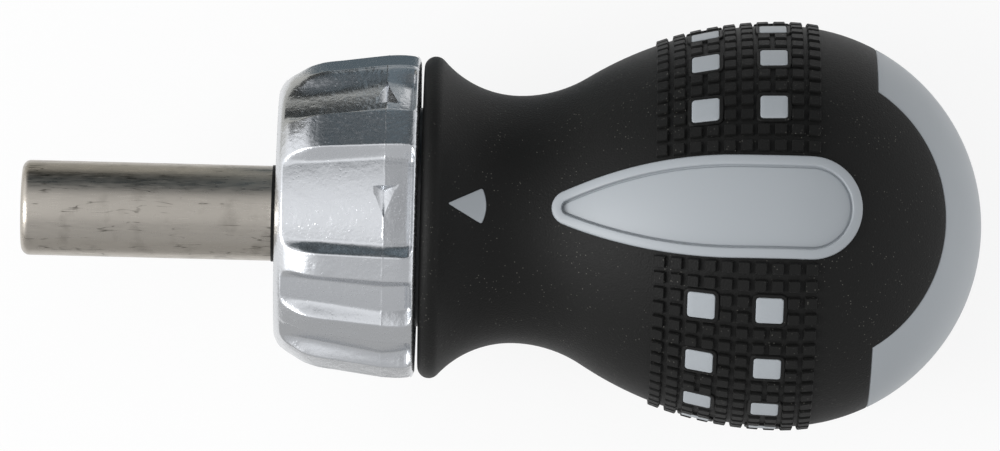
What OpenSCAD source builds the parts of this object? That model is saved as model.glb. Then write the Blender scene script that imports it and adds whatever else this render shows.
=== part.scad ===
// Stubby ratcheting screwdriver.
// The tool's axis lies along X with the mouth of the bit socket at the origin, and its label faces +Z.
// Every piece is drawn upright, its axis along Z and its label side toward Y, and lay() turns it into place.
// Places along the axis are measured from the mouth, and angles from the label line toward +Y.

/* [Overall] */
// Length from the mouth of the bit holder to the end of the butt
tool_len = 100; // [97:0.5:105]

/* [Bit holder] */
// Outside diameter of the bit holder
holder_d = 9.9; // [9.6:0.1:10.2]
// Length of the bit holder that stands out of the collar
holder_reach = 26.6; // [24:0.2:29]
// Rounding of the holder's mouth edge
holder_round = 0.9; // [0.3:0.1:1.0]
// Width across the flats of the bit socket
socket_af = 6.45; // [6.35:0.05:6.6]
// Depth of the bit socket
socket_depth = 13; // [10:0.5:16]
// Width of the lead-in at the mouth of the socket
socket_lead = 0.5; // [0.2:0.1:0.7]
// Depth of the step where the barrel becomes the journal that runs through the collar
journal_step = 0.2; // [0.18:0.01:0.25]
// Diameter of the bit magnet
magnet_d = 5.6; // [5:0.1:6]
// Thickness of the bit magnet
magnet_t = 3; // [2:0.25:4]

/* [Spindle] */
// Depth of the step from the journal down to the stem that turns in the rear bush
stem_step = 0.75; // [0.7:0.05:0.85]
// Length of the stem behind the rear bush
stem_tail = 2.6; // [2.2:0.1:3.4]
// Thickness of the clip that keeps the spindle in
clip_t = 0.7; // [0.5:0.05:0.9]
// Width of the clip beyond the stem
clip_w = 1.6; // [1.3:0.1:1.8]
// Depth of the clip's groove in the stem
clip_groove = 0.6; // [0.4:0.05:0.8]

/* [Ratchet] */
// Number of teeth on the ratchet gear
gear_teeth = 24; // [24:12:36]
// Space between the gear's teeth and the lug of an engaged pawl
gear_land = 0.8; // [0.6:0.05:0.9]
// Depth of the gear's teeth
tooth_depth = 1.2; // [1.0:0.05:1.3]
// Width of the gear along the axis
gear_w = 6.2; // [5.6:0.1:7]
// Travel that lifts a pawl clear of the gear
pawl_lift = 1.4; // [1.3:0.05:1.5]
// Width of a pawl
pawl_w = 4; // [3.6:0.1:4.6]
// Diameter of the lug on a pawl
lug_d = 1.6; // [1.4:0.05:1.8]
// Web of the cam plate inside its slots
plate_web = 0.72; // [0.7:0.01:0.8]
// Web of the body's front cover outside its slots
cover_web = 0.62; // [0.6:0.01:0.7]
// Thickness of the sleeve that closes the pawl slots
sleeve_t = 0.7; // [0.5:0.05:0.8]
// Thickness of the body's front cover
cover_t = 1.4; // [1.2:0.1:2]
// Wall of the front and rear bushes
bush_t = 1.1; // [0.9:0.05:1.2]
// Thickness of the thrust washer behind the gear
washer_t = 0.4; // [0.3:0.05:0.6]
// Wire diameter of the pawl springs
spring_wire_d = 0.3; // [0.25:0.01:0.34]
// Outside diameter of the pawl springs
spring_d = 2.2; // [2:0.05:2.6]

/* [Selector collar] */
// Thickness of the collar's ring at its largest diameter
ring_t = 4.55; // [4.3:0.05:5]
// Length of the collar
collar_len = 14.7; // [14.4:0.1:16]
// Thickness of the collar's front wall
collar_wall = 1.8; // [1.6:0.1:2.2]
// Depth of the finger scallops
scallop_depth = 0.9; // [0.6:0.05:1.1]
// Turn of the collar from tighten to loosen, in degrees
selector_turn = 48; // [44:1:50]
// Thickness of the cam plate
plate_t = 1.4; // [1.2:0.1:1.8]
// Length of the selector marks round the collar
mark_len = 3.3; // [2.5:0.1:3.8]
// Width of the selector marks along the axis
mark_w = 2.6; // [2:0.1:3]
// Depth of the selector marks
mark_depth = 0.6; // [0.4:0.05:0.8]
// Thickness of the snap ring that keeps the collar on
snap_t = 1; // [0.8:0.05:1.1]
// Diameter of the stop pin
stop_d = 1.6; // [1.4:0.05:1.8]

/* [Handle] */
// Diameter of the handle's belly
belly_d = 41.8; // [40:0.2:44]
// Diameter of the handle's waist
waist_d = 25.8; // [25:0.1:27]
// Distance of the waist behind the front of the handle
waist_back = 9.9; // [9:0.1:10.5]
// Radius of the curve from the lip to the waist
front_curve_r = 10.5; // [10:0.1:12]
// Radius of the curve from the waist to the belly
rear_curve_r = 13.3; // [12:0.1:15]
// Rounding of the lip behind the collar
lip_round = 1.2; // [0.9:0.05:1.4]
// Thickness of the rubber grip
grip_wall = 1.8; // [1.4:0.1:2]
// Distance from the belly to the rear edge of the grip
butt_edge = 9.5; // [8.5:0.1:10.5]
// Radius of the belly less that of the grip's two round rear tongues
tongue_inset = 2.4; // [2:0.1:3]
// Distance of the tongues' middle ahead of the belly
tongue_back = 2.8; // [2.4:0.1:3.2]
// Diameter of the steel tang in the handle
tang_d = 17; // [16:0.1:17.4]
// Length of the steel tang
tang_len = 16; // [14:0.5:18]
// Number of splines on the tang
tang_splines = 12; // [8:2:16]

/* [Label and pads] */
// Width of the bare label
label_w = 10.24; // [9:0.1:11]
// Distance of the front end of the label's straight part ahead of the belly
label_back = 4.1; // [3.5:0.1:4.5]
// Length of the label's straight part
label_straight = 5.6; // [4:0.1:7]
// Radius of the label's long sides
label_curve_r = 52.1; // [48:0.5:58]
// Radius of the label's front tip
label_tip_r = 1.6; // [1.4:0.1:2]
// Width of the label's raised rim
rim_w = 1.05; // [0.8:0.05:1.3]
// Height of the rim and pads over the grip
pad_rise = 0.4; // [0.3:0.05:0.5]
// Depth of the label's field under the rim
field_depth = 0.5; // [0.3:0.05:0.7]
// Side of a square pad
pad_w = 2.95; // [2.6:0.05:3.2]
// Rounding of a pad's corners
pad_round = 0.35; // [0.2:0.05:0.6]
// Spacing of the rows that the pads are set out on, along the handle
row_pitch = 1.72; // [1.65:0.01:1.8]
// Distance of the middle of the pads ahead of the belly
pads_back = 4.86; // [4.5:0.02:5.2]
// Length of the arrow behind the lip
arrow_len = 3.55; // [3:0.05:4]
// Width of the arrow's base
arrow_w = 3.5; // [3:0.05:4]

/* [Hidden] */
$fn = 96;

// Colours
steel = "#9c9890";
dark_steel = "#6f7072";
bright_metal = "#c4c6c8";
bronze = "#b08a4e";
grey_plastic = "#a0a6aa";
black_rubber = "#232321";

// Overrun of every cutting shape
cut = 0.6;
// Clearance of a pin or shaft that turns
run_gap = 0.05;
// Clearance between flat faces that turn past each other
face_gap = 0.2;
// Clearance between pieces that slide
slide_gap = 0.08;
// Clearance of a piece that is simply laid in its seat
seat_gap = 0.05;
// Clearance between the collar and the ratchet body that it turns on
ring_gap = 0.25;

// Places along the axis, from the mouth of the socket to the butt
collar_at = holder_reach;
collar_end = collar_at + collar_len;
collar_floor = collar_at + collar_wall;
plate_end = collar_floor + plate_t;
journal_ahead = 0.4;
journal_at = collar_at - journal_ahead;
nose_at = collar_floor + face_gap;
cover_at = plate_end + face_gap;
cover_end = cover_at + cover_t;
gear_front_gap = 0.5;
gear_at = cover_end + gear_front_gap;
gear_end = gear_at + gear_w;
washer_at = gear_end + run_gap;
chamber_end = washer_at + washer_t + run_gap;
handle_gap = 0.3;
handle_at = collar_end + handle_gap;
snap_back = 1.8;
snap_at = collar_end - snap_back;
shoulder_end = snap_at - face_gap;
shoulder_t = 0.7;
sleeve_end = shoulder_end - shoulder_t;
clip_at = handle_at + seat_gap;
stem_end = handle_at + stem_tail;
tang_end = handle_at + tang_len;
waist_at = handle_at + waist_back;
belly_at = tool_len - belly_d / 2;

// Radii of the ratchet head, each from the piece inside it, from the journal out to the collar
journal_r = holder_d / 2 - journal_step;
stem_r = journal_r - stem_step;
hex_af = 2 * (stem_r + run_gap);
clip_r = stem_r + clip_w;
clip_room = 0.6;
clip_pocket_r = clip_r + clip_room;
bush_r = journal_r + run_gap + bush_t;
rear_bush_r = stem_r + run_gap + bush_t;
nose_wall = 0.9;
nose_r = bush_r + nose_wall;
lug_r = nose_r + face_gap + plate_web + slide_gap + lug_d / 2;
gear_r = lug_r - lug_d / 2 - gear_land;
chamber_share = 0.3;
chamber_r = gear_r + chamber_share * tooth_depth;
body_r = lug_r + pawl_lift + lug_d / 2 + slide_gap + cover_web;
hub_step = 0.1;
hub_r = body_r - hub_step;
sleeve_r = body_r + sleeve_t;
collar_bore_r = sleeve_r + ring_gap;
collar_r = collar_bore_r + ring_t;

module lay() rotate([90, 0, 90]) children();

// A point in a cross-section, at angle a from the label line and r from the axis
function at(a, r) = [r * sin(a), r * cos(a)];
function mix(from, to, share) = from + (to - from) * share;

// Turns a plan to face outward at angle a: its x runs along the axis from place s, its y toward larger angles
module facing(a, s) translate([0, 0, s]) rotate([0, -90, 270 - a]) children();

module disc(r, from, to) translate([0, 0, from]) cylinder(r = r, h = to - from);

module turned_ring(r_out, r_in, from, to) {
    difference() {
        disc(r_out, from, to);
        disc(r_in, from - cut, to + cut);
    }
}

// Bit holder: barrel, journal, the hexagon that drives the gear, and the stem
clip_groove_r = stem_r - clip_groove;
socket_r = socket_af / 2 / cos(30);
magnet_gap = 0.05;
module bit_holder() color(steel) lay() {
    difference() {
        union() {
            rotate_extrude() {
                square([holder_d / 2 - holder_round, journal_at]);
                translate([0, holder_round]) square([holder_d / 2, journal_at - holder_round]);
                translate([holder_d / 2 - holder_round, holder_round]) circle(r = holder_round);
                translate([0, journal_at]) square([journal_r, gear_at - journal_at]);
            }
            translate([0, 0, gear_at]) cylinder(d = hex_af / cos(30), h = gear_w, $fn = 6);
            disc(stem_r, gear_at, stem_end);
        }
        translate([0, 0, -cut]) cylinder(r = socket_r, h = socket_depth + cut, $fn = 6);
        disc(magnet_d / 2 + magnet_gap, socket_depth - cut, socket_depth + magnet_t + magnet_gap);
        translate([0, 0, -socket_lead])
            cylinder(r1 = socket_r + 2 * socket_lead, r2 = socket_r - socket_lead, h = 3 * socket_lead);
        turned_ring(2 * stem_r, clip_groove_r, clip_at, clip_at + clip_t + seat_gap);
    }
}

module bit_magnet() color(bright_metal) lay()
    disc(magnet_d / 2, socket_depth + magnet_gap, socket_depth + magnet_gap + magnet_t);

// Ratchet gear, with straight-flanked teeth that either pawl can drive
tooth_tip_share = 0.33;
tooth_root_share = 0.5;
tooth_pitch = 360 / gear_teeth;
function tooth_points(a) = [
    at(a - tooth_root_share * tooth_pitch / 2, gear_r - tooth_depth),
    at(a - tooth_tip_share * tooth_pitch / 2, gear_r),
    at(a + tooth_tip_share * tooth_pitch / 2, gear_r),
    at(a + tooth_root_share * tooth_pitch / 2, gear_r - tooth_depth)
];
module ratchet_gear() color(dark_steel) lay() {
    translate([0, 0, gear_at]) difference() {
        linear_extrude(gear_w) polygon([for (i = [0:gear_teeth - 1]) each tooth_points(i * tooth_pitch)]);
        translate([0, 0, -cut])
            cylinder(d = (hex_af + 2 * seat_gap) / cos(30), h = gear_w + 2 * cut, $fn = 6);
    }
}

module front_bush() color(bronze) lay() turned_ring(bush_r, journal_r + run_gap, nose_at, cover_end);
module rear_bush() color(bronze) lay() turned_ring(rear_bush_r, stem_r + run_gap, chamber_end, handle_at);
module thrust_washer() color(bronze) lay()
    turned_ring(gear_r, stem_r + run_gap, washer_at, washer_at + washer_t);

// Spindle clip, sprung into its groove behind the rear bush
clip_mouth_share = 0.85;
module spindle_clip() color(dark_steel) lay() {
    difference() {
        turned_ring(clip_r, clip_groove_r + seat_gap, clip_at, clip_at + clip_t);
        facing(180, clip_at - cut) translate([0, -clip_mouth_share * clip_groove_r, 0])
            cube([clip_t + 2 * cut, 2 * clip_mouth_share * clip_groove_r, 2 * clip_r]);
    }
}

// Splined tang, which is also the shape of its socket in the handle
spline_h = 0.6;
spline_w = 1.6;
spline_inset = 2;
module tang(end_gap) {
    disc(tang_d / 2, handle_at, tang_end + end_gap);
    for (i = [0:tang_splines - 1])
        facing(i * 360 / tang_splines, handle_at + spline_inset) translate([0, -spline_w / 2, 0])
            cube([tang_len - 2 * spline_inset, spline_w, tang_d / 2 + spline_h]);
}

// Places of the four cover screws, between the pawls, the detent and the stop
screw_angles = [45, 135, 225, 315];
screw_d = 1.6;
screw_head_d = 2.9;
screw_head_t = 0.8;
screw_len = 6;
screw_inset = 1.8;
screw_r = body_r - screw_inset;

module pawl_slot(a) {
    facing(a, cover_end - cut) translate([0, -pawl_w / 2 - slide_gap, 0])
        cube([cut + gear_front_gap + gear_w + slide_gap, pawl_w + 2 * slide_gap, sleeve_r]);
}

module ratchet_body() color(dark_steel) lay() {
    difference() {
        union() {
            disc(body_r, cover_end, sleeve_end);
            disc(sleeve_r, sleeve_end, shoulder_end);
            disc(hub_r, shoulder_end, handle_at);
            tang(0);
        }
        disc(chamber_r, cover_end - cut, chamber_end);
        disc(rear_bush_r, chamber_end - cut, handle_at + cut);
        disc(clip_pocket_r, handle_at, tang_end + cut);
        for (a = [90, 270]) pawl_slot(a);
        for (a = screw_angles) translate(at(a, screw_r))
            disc(screw_d / 2, cover_end - cut, cover_at + screw_len);
    }
}

module spring_sleeve() color(steel) lay() turned_ring(sleeve_r, body_r, cover_end, sleeve_end);

// Front cover of the ratchet body, with the nose that the cam plate turns on
stop_out = 0.6;
stop_r = lug_r + stop_out;
leaf_half = 14;
leaf_t = 0.3;
leaf_seat = 0.5;
leaf_foot_r = body_r - leaf_seat;
module lug_slot() {
    translate([-lug_d / 2 - slide_gap, lug_r]) square([lug_d + 2 * slide_gap, pawl_lift]);
    for (r = [lug_r, lug_r + pawl_lift]) translate([0, r]) circle(r = lug_d / 2 + slide_gap);
}

module body_cover() color(steel) lay() {
    difference() {
        union() {
            disc(body_r, cover_at, cover_end);
            disc(nose_r, nose_at, cover_end);
        }
        disc(bush_r, nose_at - cut, cover_end + cut);
        for (a = [90, 270]) rotate([0, 0, -a]) translate([0, 0, cover_at - cut])
            linear_extrude(cover_t + 2 * cut) lug_slot();
        for (a = screw_angles) translate(at(a, screw_r)) {
            disc(screw_d / 2, cover_at - cut, cover_end + cut);
            translate([0, 0, cover_at]) cylinder(d1 = screw_head_d, d2 = screw_d, h = screw_head_t);
        }
        translate(at(0, stop_r)) disc(stop_d / 2, cover_at - cut, cover_end + cut);
        leaf_recess();
    }
}

// Cover screws, each with its countersunk head flush with the cover
module cover_screws() color(dark_steel) lay() {
    for (a = screw_angles) translate(at(a, screw_r)) difference() {
        union() {
            translate([0, 0, cover_at]) cylinder(d1 = screw_head_d, d2 = screw_d, h = screw_head_t);
            disc(screw_d / 2, cover_at, cover_at + screw_len);
        }
        translate([0, 0, cover_at - cut]) cylinder(d = screw_d / 2, h = cut + screw_head_t / 2, $fn = 6);
    }
}

// Detent leaf, arched so that its crown drops into a notch of the collar
leaf_at = 180;
leaf_steps = 12;
leaf_rise = 1.3;
leaf_side_gap = 0.1;
leaf_end_angle = leaf_half + 1;
function leaf_r(share) = leaf_foot_r + leaf_t / 2 + seat_gap + leaf_rise * (1 + cos(180 * share)) / 2;
function leaf_point(i, side) =
    at(leaf_at + i * leaf_half / leaf_steps, leaf_r(i / leaf_steps) + side * leaf_t / 2);
module leaf_recess() {
    translate([0, 0, cover_at - cut]) linear_extrude(cover_t + 2 * cut) difference() {
        polygon([[0, 0], at(leaf_at - leaf_end_angle, 2 * body_r), at(leaf_at, 2 * body_r),
            at(leaf_at + leaf_end_angle, 2 * body_r)]);
        circle(r = leaf_foot_r);
    }
}
module detent_spring() color(bright_metal) lay() {
    translate([0, 0, cover_at + leaf_side_gap]) linear_extrude(cover_t - 2 * leaf_side_gap) polygon([
        for (i = [-leaf_steps:leaf_steps]) leaf_point(i, 1),
        for (i = [leaf_steps:-1:-leaf_steps]) leaf_point(i, -1)
    ]);
}

module stop_pin() color(bright_metal) lay() translate(at(0, stop_r)) disc(stop_d / 2, nose_at, cover_end);

// Pawls: two nibs that meet the gear with a steep flank on the driving side and a ramp on the other
nib_depth_share = 0.8;
nib_back_share = 0.25;
nib_tip_share = 0.3;
nib_root_share = 0.63;
spring_hole_depth = 1.7;
pawl_foot_gap = 0.3;
pawl_foot_r = gear_r + pawl_foot_gap;
// A lifted pawl's back corners stay clear of the sleeve
pawl_back_r = sqrt(pow(body_r - slide_gap, 2) - pow(pawl_w / 2, 2)) - pawl_lift;
spring_play = 0.3;
spring_hole_d = spring_d + spring_play;
lug_root = 0.4;
module nib(side) {
    unit = tooth_depth;
    translate([gear_r, 0]) polygon([
        [-nib_depth_share * unit, -side * nib_back_share * unit],
        [-nib_depth_share * unit, side * (nib_tip_share - nib_back_share) * unit],
        [0, side * (nib_root_share - nib_back_share) * unit],
        [pawl_foot_r - gear_r + unit, side * (nib_root_share - nib_back_share) * unit],
        [pawl_foot_r - gear_r + unit, -side * nib_back_share * unit]
    ]);
}
module pawl(a, side, lift) {
    rotate([0, 0, 90 - a]) translate([lift, 0, 0]) difference() {
        union() {
            translate([pawl_foot_r, -pawl_w / 2, gear_at]) cube([pawl_back_r - pawl_foot_r, pawl_w, gear_w]);
            translate([0, 0, gear_at]) linear_extrude(gear_w)
                for (half = [-1, 1]) rotate(half * tooth_pitch / 2) nib(side);
            translate([lug_r, 0, 0]) disc(lug_d / 2, nose_at, gear_at + lug_root);
        }
        translate([pawl_back_r - spring_hole_depth, 0, gear_at + gear_w / 2]) rotate([0, 90, 0])
            cylinder(d = spring_hole_d, h = spring_hole_depth + cut);
    }
}
module pawl_tighten() color(steel) lay() pawl(90, 1, 0);
module pawl_loosen() color(steel) lay() pawl(270, -1, pawl_lift);

// Pawl springs: coils between the hole in a pawl's back and the sleeve
spring_turns = 4;
spring_ring_steps = 8;
spring_sides = 6;
function coil_ring(i, length) = [for (j = [0:spring_sides - 1])
    let (turn = i * 360 / spring_ring_steps, t = j * 360 / spring_sides, w = spring_wire_d / 2,
        rise = (length - 2 * w) * i / (spring_turns * spring_ring_steps),
        r = spring_d / 2 - w + w * cos(t))
    [r * cos(turn), r * sin(turn), w + rise + w * sin(t)]];
module coil(length) {
    rings = spring_turns * spring_ring_steps;
    n = spring_sides;
    polyhedron(points = [for (i = [0:rings]) each coil_ring(i, length)], faces = [
        [for (j = [0:n - 1]) j],
        [for (j = [n - 1:-1:0]) rings * n + j],
        for (i = [0:rings - 1]) for (j = [0:n - 1]) each [
            [i * n + j, (i + 1) * n + j, (i + 1) * n + (j + 1) % n],
            [i * n + j, (i + 1) * n + (j + 1) % n, i * n + (j + 1) % n]
        ]
    ]);
}
module pawl_spring(a, lift) {
    from = pawl_back_r - spring_hole_depth + lift + seat_gap;
    facing(a, gear_at + gear_w / 2) translate([0, 0, from]) coil(body_r - seat_gap - from);
}
module pawl_spring_tighten() color(bright_metal) lay() pawl_spring(90, 0);
module pawl_spring_loosen() color(bright_metal) lay() pawl_spring(270, pawl_lift);

// Selector collar: outline as shares of its radius and length, from the front face to the rear face
collar_outline_shares = [[0.75, 0], [0.83, 0.06], [0.876, 0.136], [0.918, 0.21], [0.938, 0.286],
    [0.985, 0.66], [0.997, 0.776], [1, 0.946], [0.98, 0.98], [0.953, 1]];
// Centre and width of each scallop in degrees, on half of the collar; the other half repeats them
scallops = [[0, 40], [selector_turn, 26.5], [84.5, 20], [116, 16], [142, 18]];
half_turn = 180;
// Rims left ahead of and behind the scallops
scallop_front = 1.1;
scallop_rear = 0.4;
mark_at_share = 0.78;
// Dust seal round the journal, held behind a lip of the collar
seal_t = 1.4;
seal_w = 2.6;
seal_lip = 0.35;
seal_r = journal_r + seal_w;
// Notches that the detent leaf drops into
notch_d = 2.4;
notch_depth = 0.35;
notch_out = collar_bore_r + notch_depth - notch_d / 2;
// Keyways that turn the cam plate with the collar
key_angles = [70, 250];
key_w = 3;
key_h = 0.9;
// Depth of the snap ring's groove
snap_h = 0.6;

module collar_half(inset) {
    polygon(concat([[0, collar_at]],
        [for (p = collar_outline_shares) [p[0] * collar_r - inset, collar_at + p[1] * collar_len]],
        [[0, collar_end]]));
}

// A scallop is a stretch of the band that lies outside the floor and between the two rims
module scallop_section() {
    difference() {
        translate([collar_bore_r, collar_at + scallop_front])
            square([collar_r, collar_len - scallop_front - scallop_rear]);
        collar_half(scallop_depth);
    }
}
module scallop(a, angle) rotate(90 - a - angle / 2) rotate_extrude(angle = angle) scallop_section();

// Selector mark: a sunk three-sided pyramid whose point shows the way the tool drives
module selector_mark(a, way) {
    over = mark_depth / 2;
    grow = (mark_depth + over) / mark_depth;
    floor_r = collar_r - scallop_depth;
    wide = grow * mark_w / 2;
    long = grow * mark_len / 2;
    facing(a, collar_at + mark_at_share * collar_len) translate([0, 0, floor_r]) rotate(way > 0 ? 0 : 180)
        polyhedron(
            points = [[-wide, -long, over], [wide, -long, over], [0, long, over], [0, 0, -mark_depth]],
            faces = [[2, 1, 0], [0, 1, 3], [1, 2, 3], [2, 0, 3]]
        );
}

module selector_collar() color(bright_metal) lay() {
    difference() {
        rotate_extrude() collar_half(0);
        for (half = [0, half_turn]) for (s = scallops) scallop(half + s[0], s[1]);
        for (half = [0, half_turn]) {
            selector_mark(half, -1);
            selector_mark(half + selector_turn, 1);
        }
        disc(seal_r - seal_lip, collar_at - cut, collar_floor + cut);
        disc(seal_r + seat_gap, collar_floor - seal_t - seat_gap, collar_floor + cut);
        disc(collar_bore_r, collar_floor, collar_end + cut);
        disc(collar_bore_r + snap_h, snap_at - seat_gap, snap_at + snap_t + seat_gap);
        for (a = key_angles) facing(a, collar_floor) translate([0, -key_w / 2 - seat_gap, 0])
            cube([collar_len, key_w + 2 * seat_gap, collar_bore_r + key_h + seat_gap]);
        for (i = [0:2]) translate(at(leaf_at + i * selector_turn / 2, notch_out))
            disc(notch_d / 2, cover_at - seat_gap, cover_end + seat_gap);
    }
}

// Cam plate: its spiral slots lift one pawl while they let the other in, and its arc slot meets the stop pin
cam_steps = 8;
plate_gap = 0.1;
function cam_point(a_from, r_from, r_to, share, out) =
    at(a_from + selector_turn * share, mix(r_from, r_to, share) + out);
module cam_slot(a_from, r_from, r_to, width) {
    polygon([
        for (i = [0:cam_steps]) cam_point(a_from, r_from, r_to, i / cam_steps, width / 2),
        for (i = [cam_steps:-1:0]) cam_point(a_from, r_from, r_to, i / cam_steps, -width / 2)
    ]);
    translate(at(a_from, r_from)) circle(d = width);
    translate(at(a_from + selector_turn, r_to)) circle(d = width);
}
module cam_plate() color(steel) lay() {
    difference() {
        union() {
            disc(collar_bore_r - plate_gap, collar_floor, plate_end);
            for (a = key_angles) facing(a, collar_floor) translate([0, -key_w / 2, 0])
                cube([plate_t, key_w, collar_bore_r + key_h]);
        }
        disc(nose_r + face_gap, collar_floor - cut, plate_end + cut);
        translate([0, 0, collar_floor - cut]) linear_extrude(plate_t + 2 * cut) {
            cam_slot(90, lug_r, lug_r + pawl_lift, lug_d + 2 * slide_gap);
            cam_slot(270, lug_r + pawl_lift, lug_r, lug_d + 2 * slide_gap);
            cam_slot(0, stop_r, stop_r, stop_d + 2 * slide_gap);
        }
    }
}

// Collar snap ring, split so that it springs into the collar's groove
snap_gap_w = 5;
module collar_snap_ring() color(dark_steel) lay() {
    difference() {
        turned_ring(collar_bore_r + snap_h - seat_gap, hub_r + face_gap, snap_at, snap_at + snap_t);
        facing(0, snap_at - cut) translate([0, -snap_gap_w / 2, 0])
            cube([snap_t + 2 * cut, snap_gap_w, collar_r]);
    }
}

module dust_seal() color(black_rubber) lay()
    turned_ring(seal_r, journal_r + run_gap, collar_floor - seal_t, collar_floor);

// Handle outline: lip, front curve, waist, rear curve, belly and round butt, each tangent to the next
belly_r = belly_d / 2;
front_mid = [waist_d / 2 + front_curve_r, waist_at];
rear_mid = [waist_d / 2 + rear_curve_r, waist_at];
lip_reach = sqrt(pow(front_curve_r + lip_round, 2) - pow(waist_back - lip_round, 2));
lip_mid = [front_mid[0] - lip_reach, handle_at + lip_round];
belly_run = belly_at - waist_at;
belly_drop = rear_mid[0] - belly_r;
belly_curve_r = (pow(belly_run, 2) + pow(belly_drop, 2) - pow(rear_curve_r, 2))
    / (2 * (rear_curve_r - belly_drop));
belly_mid = [belly_r - belly_curve_r, belly_at];

// Place where the rear curve runs into the belly, on the outline moved inward by inset
function join_at(inset) =
    waist_at + (rear_curve_r + inset) * belly_run / (rear_curve_r + belly_curve_r);

module band(r, from, to) polygon([[0, from], [r, from], [r, to], [0, to]]);
module handle_half(inset) {
    difference() {
        polygon([[0, handle_at], [lip_mid[0], handle_at], lip_mid, front_mid, [0, waist_at]]);
        translate(front_mid) circle(r = front_curve_r + inset);
    }
    difference() {
        band(rear_mid[0], waist_at, join_at(inset));
        translate(rear_mid) circle(r = rear_curve_r + inset);
    }
    intersection() {
        band(belly_d, join_at(inset), belly_at);
        union() {
            translate(belly_mid) circle(r = belly_curve_r - inset);
            band(belly_r / 2, join_at(inset), belly_at);
        }
    }
    intersection() {
        translate([0, belly_at]) square([belly_d, belly_d]);
        translate([0, belly_at]) circle(r = belly_r - inset);
    }
}

// Space that the rubber grip fills: everything ahead of the butt's edge, and a round tongue on two sides
module grip_zone() {
    disc(belly_d, handle_at - cut, belly_at + butt_edge);
    facing(0, belly_at - tongue_back) translate([0, 0, -belly_d])
        cylinder(r = belly_r - tongue_inset, h = 2 * belly_d);
}

// Plan of the label: two long curves that run into a small round tip, a straight part and a round end
label_at = belly_at - label_back;
label_side = label_curve_r - label_w / 2;
label_tip_at = sqrt(pow(label_curve_r - label_tip_r, 2) - pow(label_side, 2));
module label_plan(inset) {
    reach = label_tip_at * (label_curve_r - inset) / (label_curve_r - label_tip_r);
    intersection() {
        translate([0, label_side]) circle(r = label_curve_r - inset);
        translate([0, -label_side]) circle(r = label_curve_r - inset);
        translate([-reach, -label_w]) square([reach, 2 * label_w]);
    }
    translate([-label_tip_at, 0]) circle(r = label_tip_r - inset);
    translate([0, inset - label_w / 2]) square([label_straight, label_w - 2 * inset]);
    translate([label_straight, 0]) circle(d = label_w - 2 * inset);
}
module labels(inset) {
    for (a = [0, 180]) facing(a, label_at) linear_extrude(belly_d) label_plan(inset);
}

// Square pads that stand through windows in the grip, in two rows round each side of the handle
pad_rows = [-2, 2];
pad_angles = [30, 50, 70, 90, 110, 130, 150];
module pad_plan() {
    square([pad_w, pad_w - 2 * pad_round], center = true);
    square([pad_w - 2 * pad_round, pad_w], center = true);
    for (x = [-1, 1]) for (y = [-1, 1]) translate([x, y] * (pad_w / 2 - pad_round)) circle(r = pad_round);
}
module pads() {
    for (row = pad_rows) for (side = [-1, 1]) for (a = pad_angles)
        facing(side * a, belly_at - pads_back + row * row_pitch) linear_extrude(belly_d) pad_plan();
}

// Arrow behind the lip, with a curved base
arrow_back = 3.05;
module arrows() {
    for (a = [0, 180]) facing(a, handle_at + arrow_back) linear_extrude(belly_d) intersection() {
        circle(r = arrow_len);
        polygon([[0, 0], [arrow_len + cut, -(arrow_w + cut) / 2], [arrow_len + cut, (arrow_w + cut) / 2]]);
    }
}

tang_end_gap = 0.5;
module handle_core() color(grey_plastic) lay() {
    difference() {
        union() {
            rotate_extrude() handle_half(grip_wall);
            difference() {
                rotate_extrude() handle_half(0);
                grip_zone();
            }
            intersection() {
                rotate_extrude() handle_half(-pad_rise);
                union() {
                    labels(0);
                    pads();
                }
            }
            intersection() {
                rotate_extrude() handle_half(0);
                arrows();
            }
        }
        difference() {
            labels(rim_w);
            rotate_extrude() handle_half(field_depth - pad_rise);
        }
        tang(tang_end_gap);
    }
}

module handle_grip() color(black_rubber) lay() {
    difference() {
        intersection() {
            union() {
                rotate_extrude() handle_half(0);
                rotate_extrude() translate(lip_mid) circle(r = lip_round);
            }
            grip_zone();
        }
        rotate_extrude() handle_half(grip_wall);
        labels(0);
        pads();
        arrows();
    }
}

bit_holder();
bit_magnet();
ratchet_gear();
front_bush();
rear_bush();
thrust_washer();
spindle_clip();
ratchet_body();
body_cover();
cover_screws();
spring_sleeve();
pawl_tighten();
pawl_loosen();
pawl_spring_tighten();
pawl_spring_loosen();
selector_collar();
cam_plate();
collar_snap_ring();
dust_seal();
detent_spring();
stop_pin();
handle_core();
handle_grip();
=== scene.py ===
"""Looks of a stubby ratcheting screwdriver: steel bit holder, chromed collar, grey handle and rubber grip.

Sizes are in millimetres in the tool's own terms. A place is (s, r, angle): s runs along the axis from the
mouth of the bit holder to the butt, r is the distance from the axis, and the angle runs from the label line
toward +Y. ``on_frame`` turns them into metres in the shared frame.
"""

import sys
import logging
import math
from collections.abc import Sequence
from dataclasses import dataclass, field
from enum import Enum

import bmesh
import bpy
import numpy as np
from mathutils import Matrix, Vector


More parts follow.
